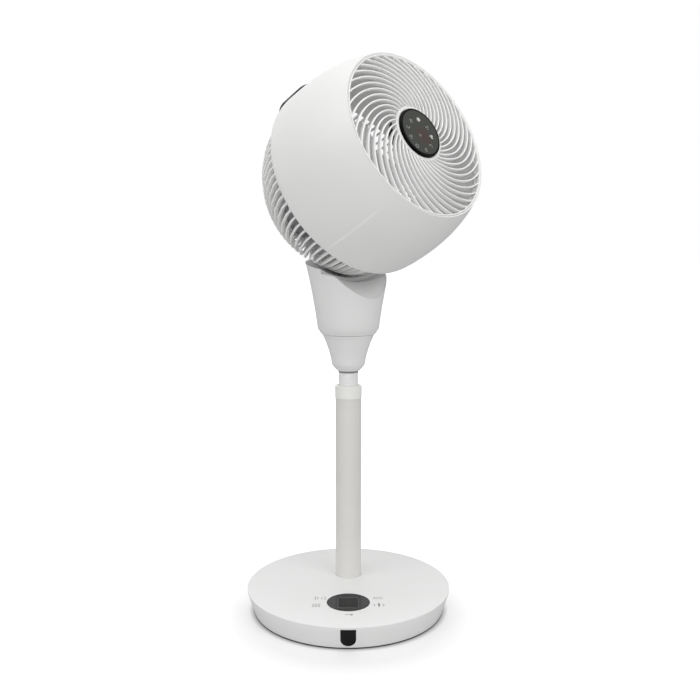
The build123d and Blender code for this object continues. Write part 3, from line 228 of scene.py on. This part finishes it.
# Collar moulded in smooth ABS, as warm as the coated column and lighter.
collar_abs = grained("collar_moulded_abs", "F7F7F3", "F2F2EE", roughness=0.36, grain=1.0, depth=0.015,
                     ior=ABS_IOR)

# Inner tube with a smooth stoved enamel, cooler, paler and glossier than the column.
tube_enamel = grained("inner_tube_enamel", "F2F3F2", "ECEDEC", roughness=0.28, grain=2.5, depth=0.006)

# Duct in unpainted pale polypropylene: waxy and matt.
duct_pp = grained("duct_pale_polypropylene", "F6F6F5", "F2F2F1", roughness=0.55, grain=0.8, depth=0.02,
                  ior=POLYPROPYLENE_IOR)

# Acetal: grey for the tilt track, and the natural cream of the resin for gears
# and bushes, all with the low sheen of a slippery plastic.
track_acetal = grained("track_acetal", "D2D3D2", "C9CAC9", roughness=0.4, grain=0.7, depth=0.01,
                       ior=ACETAL_IOR)
gear_acetal = grained("gear_natural_acetal", "E4E1D6", "DAD7CB", roughness=0.4, grain=0.7, depth=0.01,
                      ior=ACETAL_IOR)
bush_acetal = grained("bush_natural_acetal", "E6E3D9", "DCD8CC", roughness=0.45, grain=0.8, depth=0.01,
                      ior=ACETAL_IOR)

# Impeller in pale polypropylene with glass fibre, faintly clouded by its flow.
impeller_pp = grained("impeller_filled_polypropylene", "EEEEEE", "E6E6E6", roughness=0.48, grain=1.2,
                      depth=0.02, ior=POLYPROPYLENE_IOR)

# Structural glass-filled nylon: dark in the neck, grey for the motor's mount, and
# slightly mottled where the fibres reach the skin.
frame_nylon = grained("frame_glass_filled_nylon", "3A3B3D", "2E2F31", roughness=0.55, grain=0.8,
                      depth=0.04, ior=NYLON_IOR, cloud=12.0)
mount_nylon = grained("mount_glass_filled_nylon", "A2A3A4", "96979A", roughness=0.55, grain=0.8,
                      depth=0.04, ior=NYLON_IOR, cloud=12.0)

# Black ABS, a little paler on small parts. The base plate's is the deepest black, partly its own colour and
# partly painted shade of the gap under the base's edge.
plate_black_and_painted_shade = grained("base_plate_black_abs_and_painted_shade", "0E0E0F", "0A0A0B", roughness=0.5, grain=0.9, depth=0.03,
                    ior=ABS_IOR)
black_abs = grained("black_moulded_abs", "141415", "0F0F10", roughness=0.45, grain=0.8, depth=0.02,
                    ior=ABS_IOR)

# Feet in black moulded rubber, matt with a faint bloom. The wiper seal is grey TPE, and its mid grey is also
# painted shade of the gap under the neck base.
foot_rubber = grained("foot_moulded_rubber", "1B1B1B", "242423", roughness=0.85, grain=0.5, depth=0.05,
                      ior=RUBBER_IOR, cloud=8.0)
seal_tpe_and_painted_shade = grained("seal_grey_tpe_and_painted_shade", "8C8D8D", "838484", roughness=0.7, grain=0.5, depth=0.04, cloud=8.0)

# Ballast and column foot cast in grey iron: rough sand skin under dull black primer.
cast_iron = grained("ballast_primed_cast_iron", "2B2B2C", "38383A", roughness=0.75, grain=1.5, depth=0.25,
                    cloud=20.0)

# Printed circuit board: glass-epoxy under a glossy green solder mask, its grain
# the 0.5 mm of the glass weave.
solder_mask = grained("board_green_solder_mask", "123F26", "0E3520", roughness=0.35, grain=0.5, depth=0.01,
                      ior=EPOXY_IOR)

# Zinc-plated steel: bluish bright, with level turned marks.
zinc_steel = grained("zinc_plated_steel", "B9BCC0", "B2B5BA", roughness=0.32, grain=0.6, depth=0.01,
                     stretch=(1, 1, 6), fixed={"Metallic": 1.0})

# Deep-drawn steel of the motor cans: greyer, with faint upright draw marks.
drawn_can = grained("motor_drawn_steel", "A4A6A8", "9D9FA2", roughness=0.38, grain=0.7, depth=0.01,
                    stretch=(1, 1, 0.15), fixed={"Metallic": 1.0})

# Grip insert in soft black TPE with fine ridges across the strap.
RIDGE_SPACING = 2
grip_tpe = grained("grip_ribbed_tpe", "2A2A2A", "222222", roughness=0.7, grain=0.6, depth=0.03)
along_strap, = head_distances(grip_tpe, FAN_AXIS)
ridge_phase = add_node(grip_tpe.tree, "ShaderNodeMath", {
    0: along_strap, 1: 2 * math.pi / (RIDGE_SPACING * MM),
}, operation="MULTIPLY")
raise_over(grip_tpe, add_node(grip_tpe.tree, "ShaderNodeMath", {0: ridge_phase}, operation="SINE"),
           strength=0.6)

# Smoked acrylic over the display: glossy and dark, with a black border printed
# on its back and the switched-off display in a thin grey frame.
LENS_MIDDLE = Vector((0, -76, BASE_HEIGHT))
LENS_BORDER = 31.5
LENS_BORDER_EDGE = 0.3
DISPLAY_MIDDLE = (0, -78)
DISPLAY_HALF = (15.4, 18)
DISPLAY_FRAME_HALF = (16.6, 20)
DISPLAY_EDGES = (0.3, 0.4)
lens_acrylic = grained("smoked_display_acrylic", "2C2C2E", "28282A", roughness=0.12, grain=3.0, depth=0.002,
                       ior=ACRYLIC_IOR, spread=0.02, edge=0.3, fixed={"Specular IOR Level": 0.13})
lens = lens_acrylic.tree
lens_x, lens_y, _ = add_node(lens, "ShaderNodeSeparateXYZ", {0: lens_acrylic.coords}).outputs
lens_radius = add_node(lens, "ShaderNodeVectorMath", {0: lens_acrylic.coords, 1: LENS_MIDDLE * MM},
                       operation="DISTANCE")
lens_border = add_node(lens, "ShaderNodeMapRange", {
    "Value": lens_radius, "From Min": (LENS_BORDER - LENS_BORDER_EDGE) * MM,
    "From Max": (LENS_BORDER + LENS_BORDER_EDGE) * MM,
})
for half, colour in ((DISPLAY_FRAME_HALF, "56565A"), (DISPLAY_HALF, "101012")):
    paint_over(lens_acrylic, patch(lens, lens_x, lens_y, DISPLAY_MIDDLE, half, DISPLAY_EDGES), colour)
paint_over(lens_acrylic, lens_border, "050505")

# Infrared-passing acrylic: glossy and practically black.
infrared_acrylic = grained("infrared_black_acrylic", "060607", "080809", roughness=0.1, grain=3.0,
                           depth=0.002, ior=ACRYLIC_IOR, spread=0.02, fixed={"Specular IOR Level": 0.3})

# Touch panel in printed acrylic: dark grey face with a trace of olive, black
# border and side, and a faintly brown field under the middle.
PANEL_BORDER = 35.4
PANEL_BORDER_EDGE = 0.2
panel_acrylic = grained("touch_panel_printed_acrylic", "494B47", "454743", roughness=0.4, grain=0.9,
                        depth=0.006, ior=ACRYLIC_IOR, spread=0.04, edge=0.2,
                        fixed={"Specular IOR Level": 0.06})
panel = panel_acrylic.tree
panel_x, panel_y = head_distances(panel_acrylic, LATERAL, HEAD_UP)
panel_radius = add_node(panel, "ShaderNodeVectorMath", {
    0: add_node(panel, "ShaderNodeCombineXYZ", {0: panel_x, 1: panel_y}),
}, operation="LENGTH")
panel_border = add_node(panel, "ShaderNodeMapRange", {
    "Value": panel_radius, "From Min": (PANEL_BORDER - PANEL_BORDER_EDGE) * MM,
    "From Max": (PANEL_BORDER + PANEL_BORDER_EDGE) * MM,
})
panel_field = patch(panel, panel_x, panel_y, middle=(4, -6), half=(12, 12), edges=(5, 5))
paint_over(panel_acrylic, panel_field, "504341")
paint_over(panel_acrylic, panel_border, "020202")

# Shroud in white ABS a shade greyer than the base. The mould's parting line is low on its
# left side, and is drawn only from SEAM_SIDE outwards on that side, as a slight raised ridge
# that is also painted lighter than the shroud: a painted highlight along it.
SEAM_TURN = math.radians(-132)
SEAM_SIDE = 50
SEAM_OUTWARD = LATERAL * math.cos(SEAM_TURN) + HEAD_UP * math.sin(SEAM_TURN)
SEAM_ACROSS = HEAD_UP * math.cos(SEAM_TURN) - LATERAL * math.sin(SEAM_TURN)
shroud_abs = grained("shroud_moulded_abs", "F1F1F0", "EDEDEC", roughness=0.4, grain=0.9, depth=0.02,
                     ior=ABS_IOR)
shroud = shroud_abs.tree
outward, across, ahead = head_distances(shroud_abs, SEAM_OUTWARD, SEAM_ACROSS, FAN_AXIS)
on_side = add_node(shroud, "ShaderNodeMath", {0: outward, 1: SEAM_SIDE * MM}, operation="GREATER_THAN")
seam = patch(shroud, across, ahead, middle=(0, 52), half=(1.4, 50), edges=(0.6, 8))
parting_ridge_and_highlight = add_node(shroud, "ShaderNodeMath", {0: seam, 1: on_side}, operation="MULTIPLY")
# Painted highlight: the parting line is lighter than the shroud, and the bump below raises its real ridge.
paint_over(shroud_abs, parting_ridge_and_highlight, "FBFBFA")
raise_over(shroud_abs, parting_ridge_and_highlight, strength=0.5)

# Strap white on its legs and dark over the top, above a set height over the tilt centre.
DARK_TOP_FOOT = 170
DARK_TOP_FOOT_EDGE = 0.2
handle_moulding = grained("handle_dark_topped_strap", "3A3A3B", "353536", roughness=0.55, grain=0.7,
                          depth=0.02, ior=RUBBER_IOR)
strap_up, = head_distances(handle_moulding, HEAD_UP)
on_legs = add_node(handle_moulding.tree, "ShaderNodeMapRange", {
    "Value": strap_up, "From Min": (DARK_TOP_FOOT - DARK_TOP_FOOT_EDGE) * MM,
    "From Max": (DARK_TOP_FOOT + DARK_TOP_FOOT_EDGE) * MM, "To Min": 1.0, "To Max": 0.0,
})
paint_over(handle_moulding, on_legs, "EFEFEE")

# Pad-printing inks, flat and satin: greys on the base, white and silver on the touch panel.
grey_ink = grained("grey_pad_print_ink", "A3A3A2", "9B9B9A", roughness=0.5, grain=0.5, depth=0.004)
dark_ink = grained("dark_pad_print_ink", "5C5C5B", "555554", roughness=0.5, grain=0.5, depth=0.004)
white_ink = grained("white_pad_print_ink", "F4F4F0", "EEEEEA", roughness=0.5, grain=0.5, depth=0.004)
silver_ink = grained("silver_pad_print_ink", "9A9B97", "8F908C", roughness=0.5, grain=0.5, depth=0.004)

CAD_FINISH = {
    "base_cover": white_abs, "base_plate": plate_black_and_painted_shade, "rubber_feet": foot_rubber,
    "base_screws": zinc_steel, "ballast_weight": cast_iron, "control_board": solder_mask,
    "display_module": black_abs, "display_lens": lens_acrylic, "ir_window": infrared_acrylic,
    "ir_receiver": black_abs, "power_inlet": black_abs, "column_foot": cast_iron,
    "column_bolts": zinc_steel, "outer_column": column_coat, "guide_bush": bush_acetal,
    "column_collar": collar_abs, "inner_column": tube_enamel, "glide_ring": bush_acetal,
    "seal_ring": seal_tpe_and_painted_shade, "neck_base": neck_abs, "pan_spindle": zinc_steel,
    "sun_gear": gear_acetal, "thrust_washer": bush_acetal, "spindle_clip": zinc_steel,
    "neck_housing": neck_abs, "neck_cradle": neck_abs, "neck_chassis": frame_nylon,
    "pan_bearing": bush_acetal, "pan_motor": drawn_can, "tilt_carriage": frame_nylon,
    "tilt_motor": drawn_can, "pan_pinion": gear_acetal, "tilt_pinion": gear_acetal,
    "tilt_motor_gear": gear_acetal, "shroud": shroud_abs, "front_grille": rib_abs,
    "air_duct": duct_pp, "rear_grille": rib_abs, "tilt_track": track_acetal,
    "motor_mount": mount_nylon, "fan_motor": drawn_can, "panel_housing": black_abs,
    "panel_board": solder_mask, "control_panel": panel_acrylic, "carry_handle": handle_moulding,
    "handle_grip": grip_tpe, "impeller": impeller_pp, "motor_shaft": zinc_steel,
    "impeller_nut": black_abs,
}
for name, finish in CAD_FINISH.items():
    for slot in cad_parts[name].material_slots:
        slot.material = finish.material


# --------------------------------------------------------------------- pieces
def add_object(name, data):
    """Object for a mesh, a lamp or a camera, put in the scene."""
    thing = bpy.data.objects.new(name, data)
    bpy.context.scene.collection.objects.link(thing)
    return thing


def rounded_piece(name, bm, body, finish, crease):
    """Piece on a body, shaded smooth except at its creases."""
    for face in bm.faces:
        face.smooth = True
    for edge in bm.edges:
        edge.smooth = len(edge.link_faces) == 2 and edge.calc_face_angle() < math.radians(crease)
    mesh = bpy.data.meshes.new(name)
    bm.to_mesh(mesh)
    bm.free()
    mesh.materials.append(finish.material)
    piece = add_object(name, mesh)
    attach(piece, body)
    return piece


def drawn_piece(name, bm, body, finish, crease=35):
    """Piece from a drawing, with its points welded and its faces turned outwards."""
    bmesh.ops.remove_doubles(bm, verts=bm.verts, dist=WELD)
    bmesh.ops.recalc_face_normals(bm, faces=bm.faces)
    return rounded_piece(name, bm, body, finish, crease)


def smooth_shell(node, body, finish):
    """Merged copy of a moulded shell, shaded smooth between its creases, in the shell's place."""
    bm = bmesh.new()
    bm.from_mesh(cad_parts[node].data)
    bmesh.ops.remove_doubles(bm, verts=bm.verts, dist=WELD)
    shell = rounded_piece(node + "_moulded", bm, body, finish, crease=30)
    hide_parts(node)


def flat_rectangle(bm, width, height):
    """Corners of a rectangle drawn about the origin in the XY plane."""
    corners = bmesh.ops.create_grid(bm, x_segments=1, y_segments=1, size=0.5)["verts"]
    bmesh.ops.scale(bm, vec=(width, height, 1), verts=corners)
    return corners


def rounded_face(bm, width, height, corner):
    """Face in the XY plane, a rectangle with rounded corners."""
    corners = flat_rectangle(bm, width, height)
    outline = bmesh.ops.bevel(bm, geom=corners, offset=corner, offset_type="OFFSET", segments=3,
                              profile=0.5, affect="VERTICES", material=-1)["verts"]
    return outline[0].link_faces[0]


def swept_bar(bm, frames, width, depth, corner):
    """Bar of rounded section swept through frames, each with its z along the bar.

    The extrude keeps the face that it starts from. The first closes the bar's end, and
    the others stay inside the bar as hidden faces, which is an open fault.
    """
    face = rounded_face(bm, width, depth, corner)
    bmesh.ops.transform(bm, matrix=frames[0], verts=face.verts)
    for before, after in zip(frames, frames[1:]):
        moved = bmesh.ops.extrude_face_region(bm, geom=[face])["geom"]
        face = next(item for item in moved if isinstance(item, bmesh.types.BMFace))
        bmesh.ops.transform(bm, matrix=after @ before.inverted(), verts=face.verts)


def turned_ring(bm, inner, outer, low, high, corner):
    """Ring of rounded section round the z axis."""
    face = rounded_face(bm, outer - inner, high - low, corner)
    middle = Matrix.Translation(((inner + outer) / 2, 0, (low + high) / 2))
    bmesh.ops.transform(bm, matrix=middle @ Matrix.Rotation(math.pi / 2, 4, "X"), verts=face.verts)
    outline = list(face.edges) + list(face.verts)
    bmesh.ops.delete(bm, geom=[face], context="FACES_ONLY")
    bmesh.ops.spin(bm, geom=outline, cent=(0, 0, 0), axis=(0, 0, 1), angle=2 * math.pi, steps=144,
                   use_merge=True)


# The front grille: spiral ribs between two rings, on a face that is crowned. The
# ribs start at RIB_START degrees and turn by RIB_TWIST degrees for each millimetre out.
HUB_RING = {"inner": 39.3, "outer": 44.6, "low": RIM_AHEAD - 8.5, "high": RIM_AHEAD + 1.5, "corner": 1.0}
OUTER_RING = {"inner": 128.6, "outer": 130.7, "low": RIM_AHEAD - 8.0, "high": RIM_AHEAD, "corner": 0.8}
RIBS = 38
RIB_WIDTH = 2.3
RIB_DEPTH = 7.0
RIB_CORNER = 1.05
RIB_INNER = 43.6
RIB_REACH = 85.6
RIB_STEPS = 20
RIB_START = 3.4
RIB_TWIST = 0.776
CREST_RADIUS = 70.0
CREST_HEIGHT = 4.8
CREST_INWARD = 33.0
CREST_OUTWARD = 57.0


def crown(radius):
    """Height of the front grille's face above the rim plane."""
    span = CREST_INWARD if radius < CREST_RADIUS else CREST_OUTWARD
    return CREST_HEIGHT * (1 - ((radius - CREST_RADIUS) / span) ** 2)


def rib_frame(radius):
    """Section plane of a rib at a radius, with z along the rib."""
    angle = math.radians(RIB_START + RIB_TWIST * (radius - RIB_INNER))
    outward = Vector((math.cos(angle), math.sin(angle), 0))
    sideways = Vector((-math.sin(angle), math.cos(angle), 0))
    along = (outward + sideways * math.radians(RIB_TWIST) * radius).normalized()
    turn = Matrix((UP.cross(along), UP, along)).transposed().to_4x4()
    height = RIM_AHEAD + crown(radius) - RIB_DEPTH / 2
    return Matrix.Translation(outward * radius + UP * height) @ turn


def moulded_grille():
    """Front grille with the rounded ribs and rings of a moulding."""
    bm = bmesh.new()
    along_rib = [rib_frame(RIB_INNER + RIB_REACH * step / RIB_STEPS) for step in range(RIB_STEPS + 1)]
    swept_bar(bm, along_rib, RIB_WIDTH, RIB_DEPTH, RIB_CORNER)
    bmesh.ops.spin(bm, geom=bm.faces[:], cent=(0, 0, 0), axis=(0, 0, 1), angle=2 * math.pi, steps=RIBS,
                   use_duplicate=True)
    turned_ring(bm, **HUB_RING)
    turned_ring(bm, **OUTER_RING)
    bmesh.ops.transform(bm, matrix=HEAD, verts=bm.verts)
    grille = drawn_piece("front_grille_moulded", bm, "head", rib_abs)
    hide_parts("front_grille")


# The carrying strap's two bends, as Bezier points (ahead of the tilt centre, above it)
# and drawn with STRAP_POINTS each, and its foot on the rear dome.
STRAP_FRONT = ((0, 158.2), (-9, 168), (-24, 182), (-46, 182))
STRAP_REAR = ((-88, 182), (-99, 182), (-106.5, 175), (-106.5, 160))
STRAP_FOOT = (-106.5, 105)
STRAP_POINTS = 12
STRAP_WIDTH = 42
STRAP_THICKNESS = 5
STRAP_CORNER = 0.8


def path_frames(points):
    """Section planes along a path in the head's middle plane, each with x lateral and z along."""
    frames = []
    for index, point in enumerate(points):
        along = (points[min(index + 1, len(points) - 1)] - points[max(index - 1, 0)]).normalized()
        side = Vector((1, 0, 0))
        turn = Matrix((side, along.cross(side), along)).transposed().to_4x4()
        frames.append(Matrix.Translation(point) @ turn)
    return frames


def moulded_handle():
    """Carrying strap with rounded bends, from the shroud's band to the rear dome."""
    front, rear, foot = [[Vector((0, above, ahead)) for ahead, above in run]
                         for run in (STRAP_FRONT, STRAP_REAR, [STRAP_FOOT])]
    points = interpolate_bezier(*front, STRAP_POINTS) + interpolate_bezier(*rear, STRAP_POINTS) + foot
    bm = bmesh.new()
    swept_bar(bm, path_frames(points), STRAP_WIDTH, STRAP_THICKNESS, STRAP_CORNER)
    bmesh.ops.transform(bm, matrix=HEAD, verts=bm.verts)
    handle = drawn_piece("carry_handle_moulded", bm, "head", handle_moulding)
    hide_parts("carry_handle")


moulded_grille()
moulded_handle()
smooth_shell("shroud", "head", shroud_abs)
smooth_shell("rear_grille", "head", rib_abs)
smooth_shell("impeller", "impeller", impeller_pp)
smooth_shell("neck_housing", "neck", neck_abs)
smooth_shell("neck_base", "lift", neck_abs)
smooth_shell("base_cover", "base", white_abs)


# ---------------------------------------------------------------------- marks
INK_FILM = 0.06
ARC_STEP = 15


def arc_mark(bm, centre, radius, width, start, turn):
    """Flat printed arc, in degrees."""
    angle = math.radians(start)
    ends = [
        bm.verts.new((centre[0] + r * math.cos(angle), centre[1] + r * math.sin(angle), 0))
        for r in (radius - width / 2, radius + width / 2)
    ]
    edge = bm.edges.new(ends)
    bmesh.ops.spin(bm, geom=ends + [edge], cent=(centre[0], centre[1], 0), axis=(0, 0, 1),
                   angle=math.radians(turn), steps=max(4, int(abs(turn) / ARC_STEP)),
                   use_merge=abs(turn) >= 360)


def bar_mark(bm, first, second, width):
    """Flat printed stroke between two points."""
    first, second = Vector(first), Vector(second)
    run = second - first
    made = flat_rectangle(bm, run.length, width)
    bmesh.ops.rotate(bm, cent=(0, 0, 0), matrix=Matrix.Rotation(math.atan2(run.y, run.x), 3, "Z"), verts=made)
    middle = (first + second) / 2
    bmesh.ops.translate(bm, vec=(middle.x, middle.y, 0), verts=made)


def dot_mark(bm, centre, radius):
    """Flat printed dot."""
    bmesh.ops.create_circle(bm, cap_ends=True, segments=16, radius=radius,
                            matrix=Matrix.Translation((centre[0], centre[1], 0)))


def power_mark(bm, place, size):
    """Broken ring with an upright stroke."""
    arc_mark(bm, place, size, width=1.1, start=120, turn=300)
    bar_mark(bm, (place[0], place[1] + size * 0.3), (place[0], place[1] + size * 1.3), width=1.1)


def fan_mark(bm, place, size):
    """Hub with three curved blades."""
    dot_mark(bm, place, size * 0.4)
    for blade in range(3):
        arc_mark(bm, place, size, width=1.1, start=blade * 120, turn=75)


def wave_mark(bm, place, size):
    """Three level strokes."""
    for shift in (-0.8, 0, 0.8):
        y = place[1] + shift * size
        bar_mark(bm, (place[0] - size, y), (place[0] + size, y), width=1.0)


def draw_base_keys(bm):
    """Grey key symbols round the display: level bars, a timer row, waves, brackets and an arrow."""
    for x, tall in ((-52, 13), (-48, 8), (-41.5, 8), (-36.5, 13)):
        bar_mark(bm, (x, -61 - tall / 2), (x, -61 + tall / 2), width=1.1)
    for x in (-54, -49.5, -45):
        for y in (-83.5, -88, -92.5):
            bar_mark(bm, (x - 1.7, y), (x + 1.7, y), width=1.8)
    for x in (41, 46, 51):
        for y in (-60, -65):
            arc_mark(bm, (x, y), radius=2.2, width=1.2, start=20, turn=140)
    arc_mark(bm, (44.5, -87), radius=5.0, width=1.2, start=130, turn=100)
    arc_mark(bm, (50, -87), radius=5.0, width=1.2, start=-50, turn=100)
    tip = (7, -121.5)
    bar_mark(bm, (-5, -121.5), tip, width=1.4)
    bar_mark(bm, (3.5, -118.5), tip, width=1.2)
    bar_mark(bm, (3.5, -124.5), tip, width=1.2)


def draw_base_dark(bm):
    """Dark stroke of the swing key, between its brackets."""
    dot_mark(bm, (47.3, -83), radius=2.0)
    bar_mark(bm, (47.3, -93), (47.3, -84), width=1.8)


def draw_panel_bright(bm):
    """Power and speed keys, the two brightest on the touch panel."""
    power_mark(bm, (3.9, 21), size=2.8)
    dot_mark(bm, (3.9, 21), radius=1.6)
    fan_mark(bm, (20.6, -6), size=2.9)
    dot_mark(bm, (20.6, -6), radius=1.7)


def draw_panel_keys(bm):
    """Fainter keys round the touch panel."""
    wave_mark(bm, (-13.6, 17), size=2.7)
    arc_mark(bm, (-24.5, 7), radius=2.8, width=1.2, start=150, turn=220)
    fan_mark(bm, (-25.5, -9.5), size=3.0)
    power_mark(bm, (-18.5, -23.5), size=2.8)
    wave_mark(bm, (-1.5, -29), size=2.4)
    arc_mark(bm, (12, -22), radius=2.6, width=1.1, start=-60, turn=240)
    fan_mark(bm, (18, 9), size=2.7)
    arc_mark(bm, (-3.6, -5.4), radius=1.8, width=0.9, start=0, turn=360)


def print_marks(name, draw, place, body, finish):
    """Thin ink film of drawn marks on a plane."""
    bm = bmesh.new()
    draw(bm)
    bmesh.ops.recalc_face_normals(bm, faces=bm.faces)
    for face in list(bm.faces):
        if face.normal.z < 0:
            face.normal_flip()
    lifted = bmesh.ops.extrude_face_region(bm, geom=bm.faces[:], use_keep_orig=True)["geom"]
    top = [item for item in lifted if isinstance(item, bmesh.types.BMVert)]
    bmesh.ops.translate(bm, vec=(0, 0, INK_FILM), verts=top)
    bmesh.ops.transform(bm, matrix=place, verts=bm.verts)
    drawn_piece(name, bm, body, finish, crease=20)


print_marks("base_key_marks", draw_base_keys, BASE_TOP, "base", grey_ink)
print_marks("base_dark_marks", draw_base_dark, BASE_TOP, "base", dark_ink)
print_marks("panel_bright_marks", draw_panel_bright, PANEL_FACE, "head", white_ink)
print_marks("panel_key_marks", draw_panel_keys, PANEL_FACE, "head", silver_ink)


# ---------------------------------------------------------------------- stage
# The floor's glow for the camera, in metres: it is off as far as the base's foot, and
# grows from FLOOR_GLOW to 1 between two distances from the middle of a painted shadow
# that lies a little in front of the base.
FLOOR_GLOW = 0.38
BASE_FOOT = 0.152
FOOT_FADE = 0.01
SHADE_MIDDLE = (0, -0.05, 0)
SHADE_NEAR = 0.145
SHADE_FAR = 0.37

# The photograph's camera, fitted to it: place in metres, pitch down in radians,
# and focal length in pixels of the photograph.
CAMERA_PLACE = (0.0026, -1.3601, 0.5949)
CAMERA_PITCH = 0.125
FOCAL_PIXELS = 865.3
PHOTO_PIXELS = 700
SENSOR_WIDTH = 36


def studio_floor():
    """Wide pale floor that shows white to the camera and keeps the fan's shadow.

    The white that the camera sees starts at the base's foot, so that the real shade close to
    the base stays. It grows outwards from a point a little in front, so that a weaker glow
    before the base paints a shadow there.
    """
    mesh = bpy.data.meshes.new("studio_floor")
    bm = bmesh.new()
    bmesh.ops.create_grid(bm, x_segments=1, y_segments=1, size=20)
    bm.to_mesh(mesh)
    bm.free()
    material, tree, shader, output = blank_material("matt_paper_floor")
    shader.inputs["Base Color"].default_value = srgb("C6C6C6")
    shader.inputs["Roughness"].default_value = 0.9
    coords = add_node(tree, "ShaderNodeTexCoord").outputs["Object"]
    from_base = add_node(tree, "ShaderNodeVectorMath", {0: coords}, operation="LENGTH")
    outside = add_node(tree, "ShaderNodeMapRange", {
        "Value": from_base, "From Min": BASE_FOOT, "From Max": BASE_FOOT + FOOT_FADE,
    })
    # Painted shadow: the glow grows from a point in front of the base, so the floor before it stays darker.
    from_shade = add_node(tree, "ShaderNodeVectorMath", {0: coords, 1: SHADE_MIDDLE}, operation="DISTANCE")
    growing = add_node(tree, "ShaderNodeMapRange", {
        "Value": from_shade, "From Min": SHADE_NEAR, "From Max": SHADE_FAR,
        "To Min": FLOOR_GLOW, "To Max": 1.0,
    })
    strength = add_node(tree, "ShaderNodeMath", {0: outside, 1: growing}, operation="MULTIPLY")
    glow = add_node(tree, "ShaderNodeEmission", {"Color": "FFFFFF", "Strength": strength})
    both = add_node(tree, "ShaderNodeAddShader", {0: shader, 1: glow})
    seen = add_node(tree, "ShaderNodeLightPath").outputs["Is Camera Ray"]
    choice = add_node(tree, "ShaderNodeMixShader", {0: seen, 1: shader, 2: both})
    tree.links.new(choice.outputs[0], output.inputs[0])
    mesh.materials.append(material)
    floor = add_object("studio_floor", mesh)


def soft_lamp(name, place, aim, size, power):
    """Square soft box aimed at a point, in metres and watts."""
    lamp = bpy.data.lights.new(name, "AREA")
    lamp.size = size
    lamp.energy = power
    box = add_object(name, lamp)
    box.location = place
    box.rotation_euler = (Vector(aim) - Vector(place)).to_track_quat("-Z", "Y").to_euler()


def white_surroundings(strength):
    """Even studio light, which the camera and the reflections see as white."""
    world = bpy.data.worlds.new("studio_surroundings")
    bpy.context.scene.world = world
    world.use_nodes = True
    tree = world.node_tree
    tree.nodes.clear()
    path = add_node(tree, "ShaderNodeLightPath").outputs
    shown = add_node(tree, "ShaderNodeMath", {0: path["Is Camera Ray"], 1: path["Is Glossy Ray"]},
                     operation="MAXIMUM")
    level = add_node(tree, "ShaderNodeMapRange", {"Value": shown, "To Min": strength, "To Max": 1.0})
    light = add_node(tree, "ShaderNodeBackground", {"Color": "FFFFFF", "Strength": level})
    add_node(tree, "ShaderNodeOutputWorld", {0: light})


def photo_camera():
    """Camera at the photograph's place, with its focal length."""
    lens_data = bpy.data.cameras.new("photo_camera")
    lens_data.sensor_width = SENSOR_WIDTH
    lens_data.lens = SENSOR_WIDTH * FOCAL_PIXELS / PHOTO_PIXELS
    camera = add_object("photo_camera", lens_data)
    camera.location = CAMERA_PLACE
    camera.rotation_euler = (math.pi / 2 - CAMERA_PITCH, 0, 0)
    bpy.context.scene.camera = camera


studio_floor()
white_surroundings(strength=0.5)
soft_lamp("key_soft_box", place=(1.9, -1.9, 2.0), aim=(0.05, 0, 0.55), size=1.4, power=16)
soft_lamp("front_soft_box", place=(-0.4, -2.7, 0.9), aim=(0, 0, 0.5), size=1.8, power=12)
soft_lamp("fill_soft_box", place=(-1.9, -1.4, 2.3), aim=(0, 0, 0.5), size=1.6, power=12)
soft_lamp("top_soft_box", place=(0.1, 0, 4.0), aim=(0, 0, 0.4), size=2.4, power=44)
photo_camera()
bpy.context.scene.view_settings.view_transform = "Standard"

bpy.context.view_layer.update()
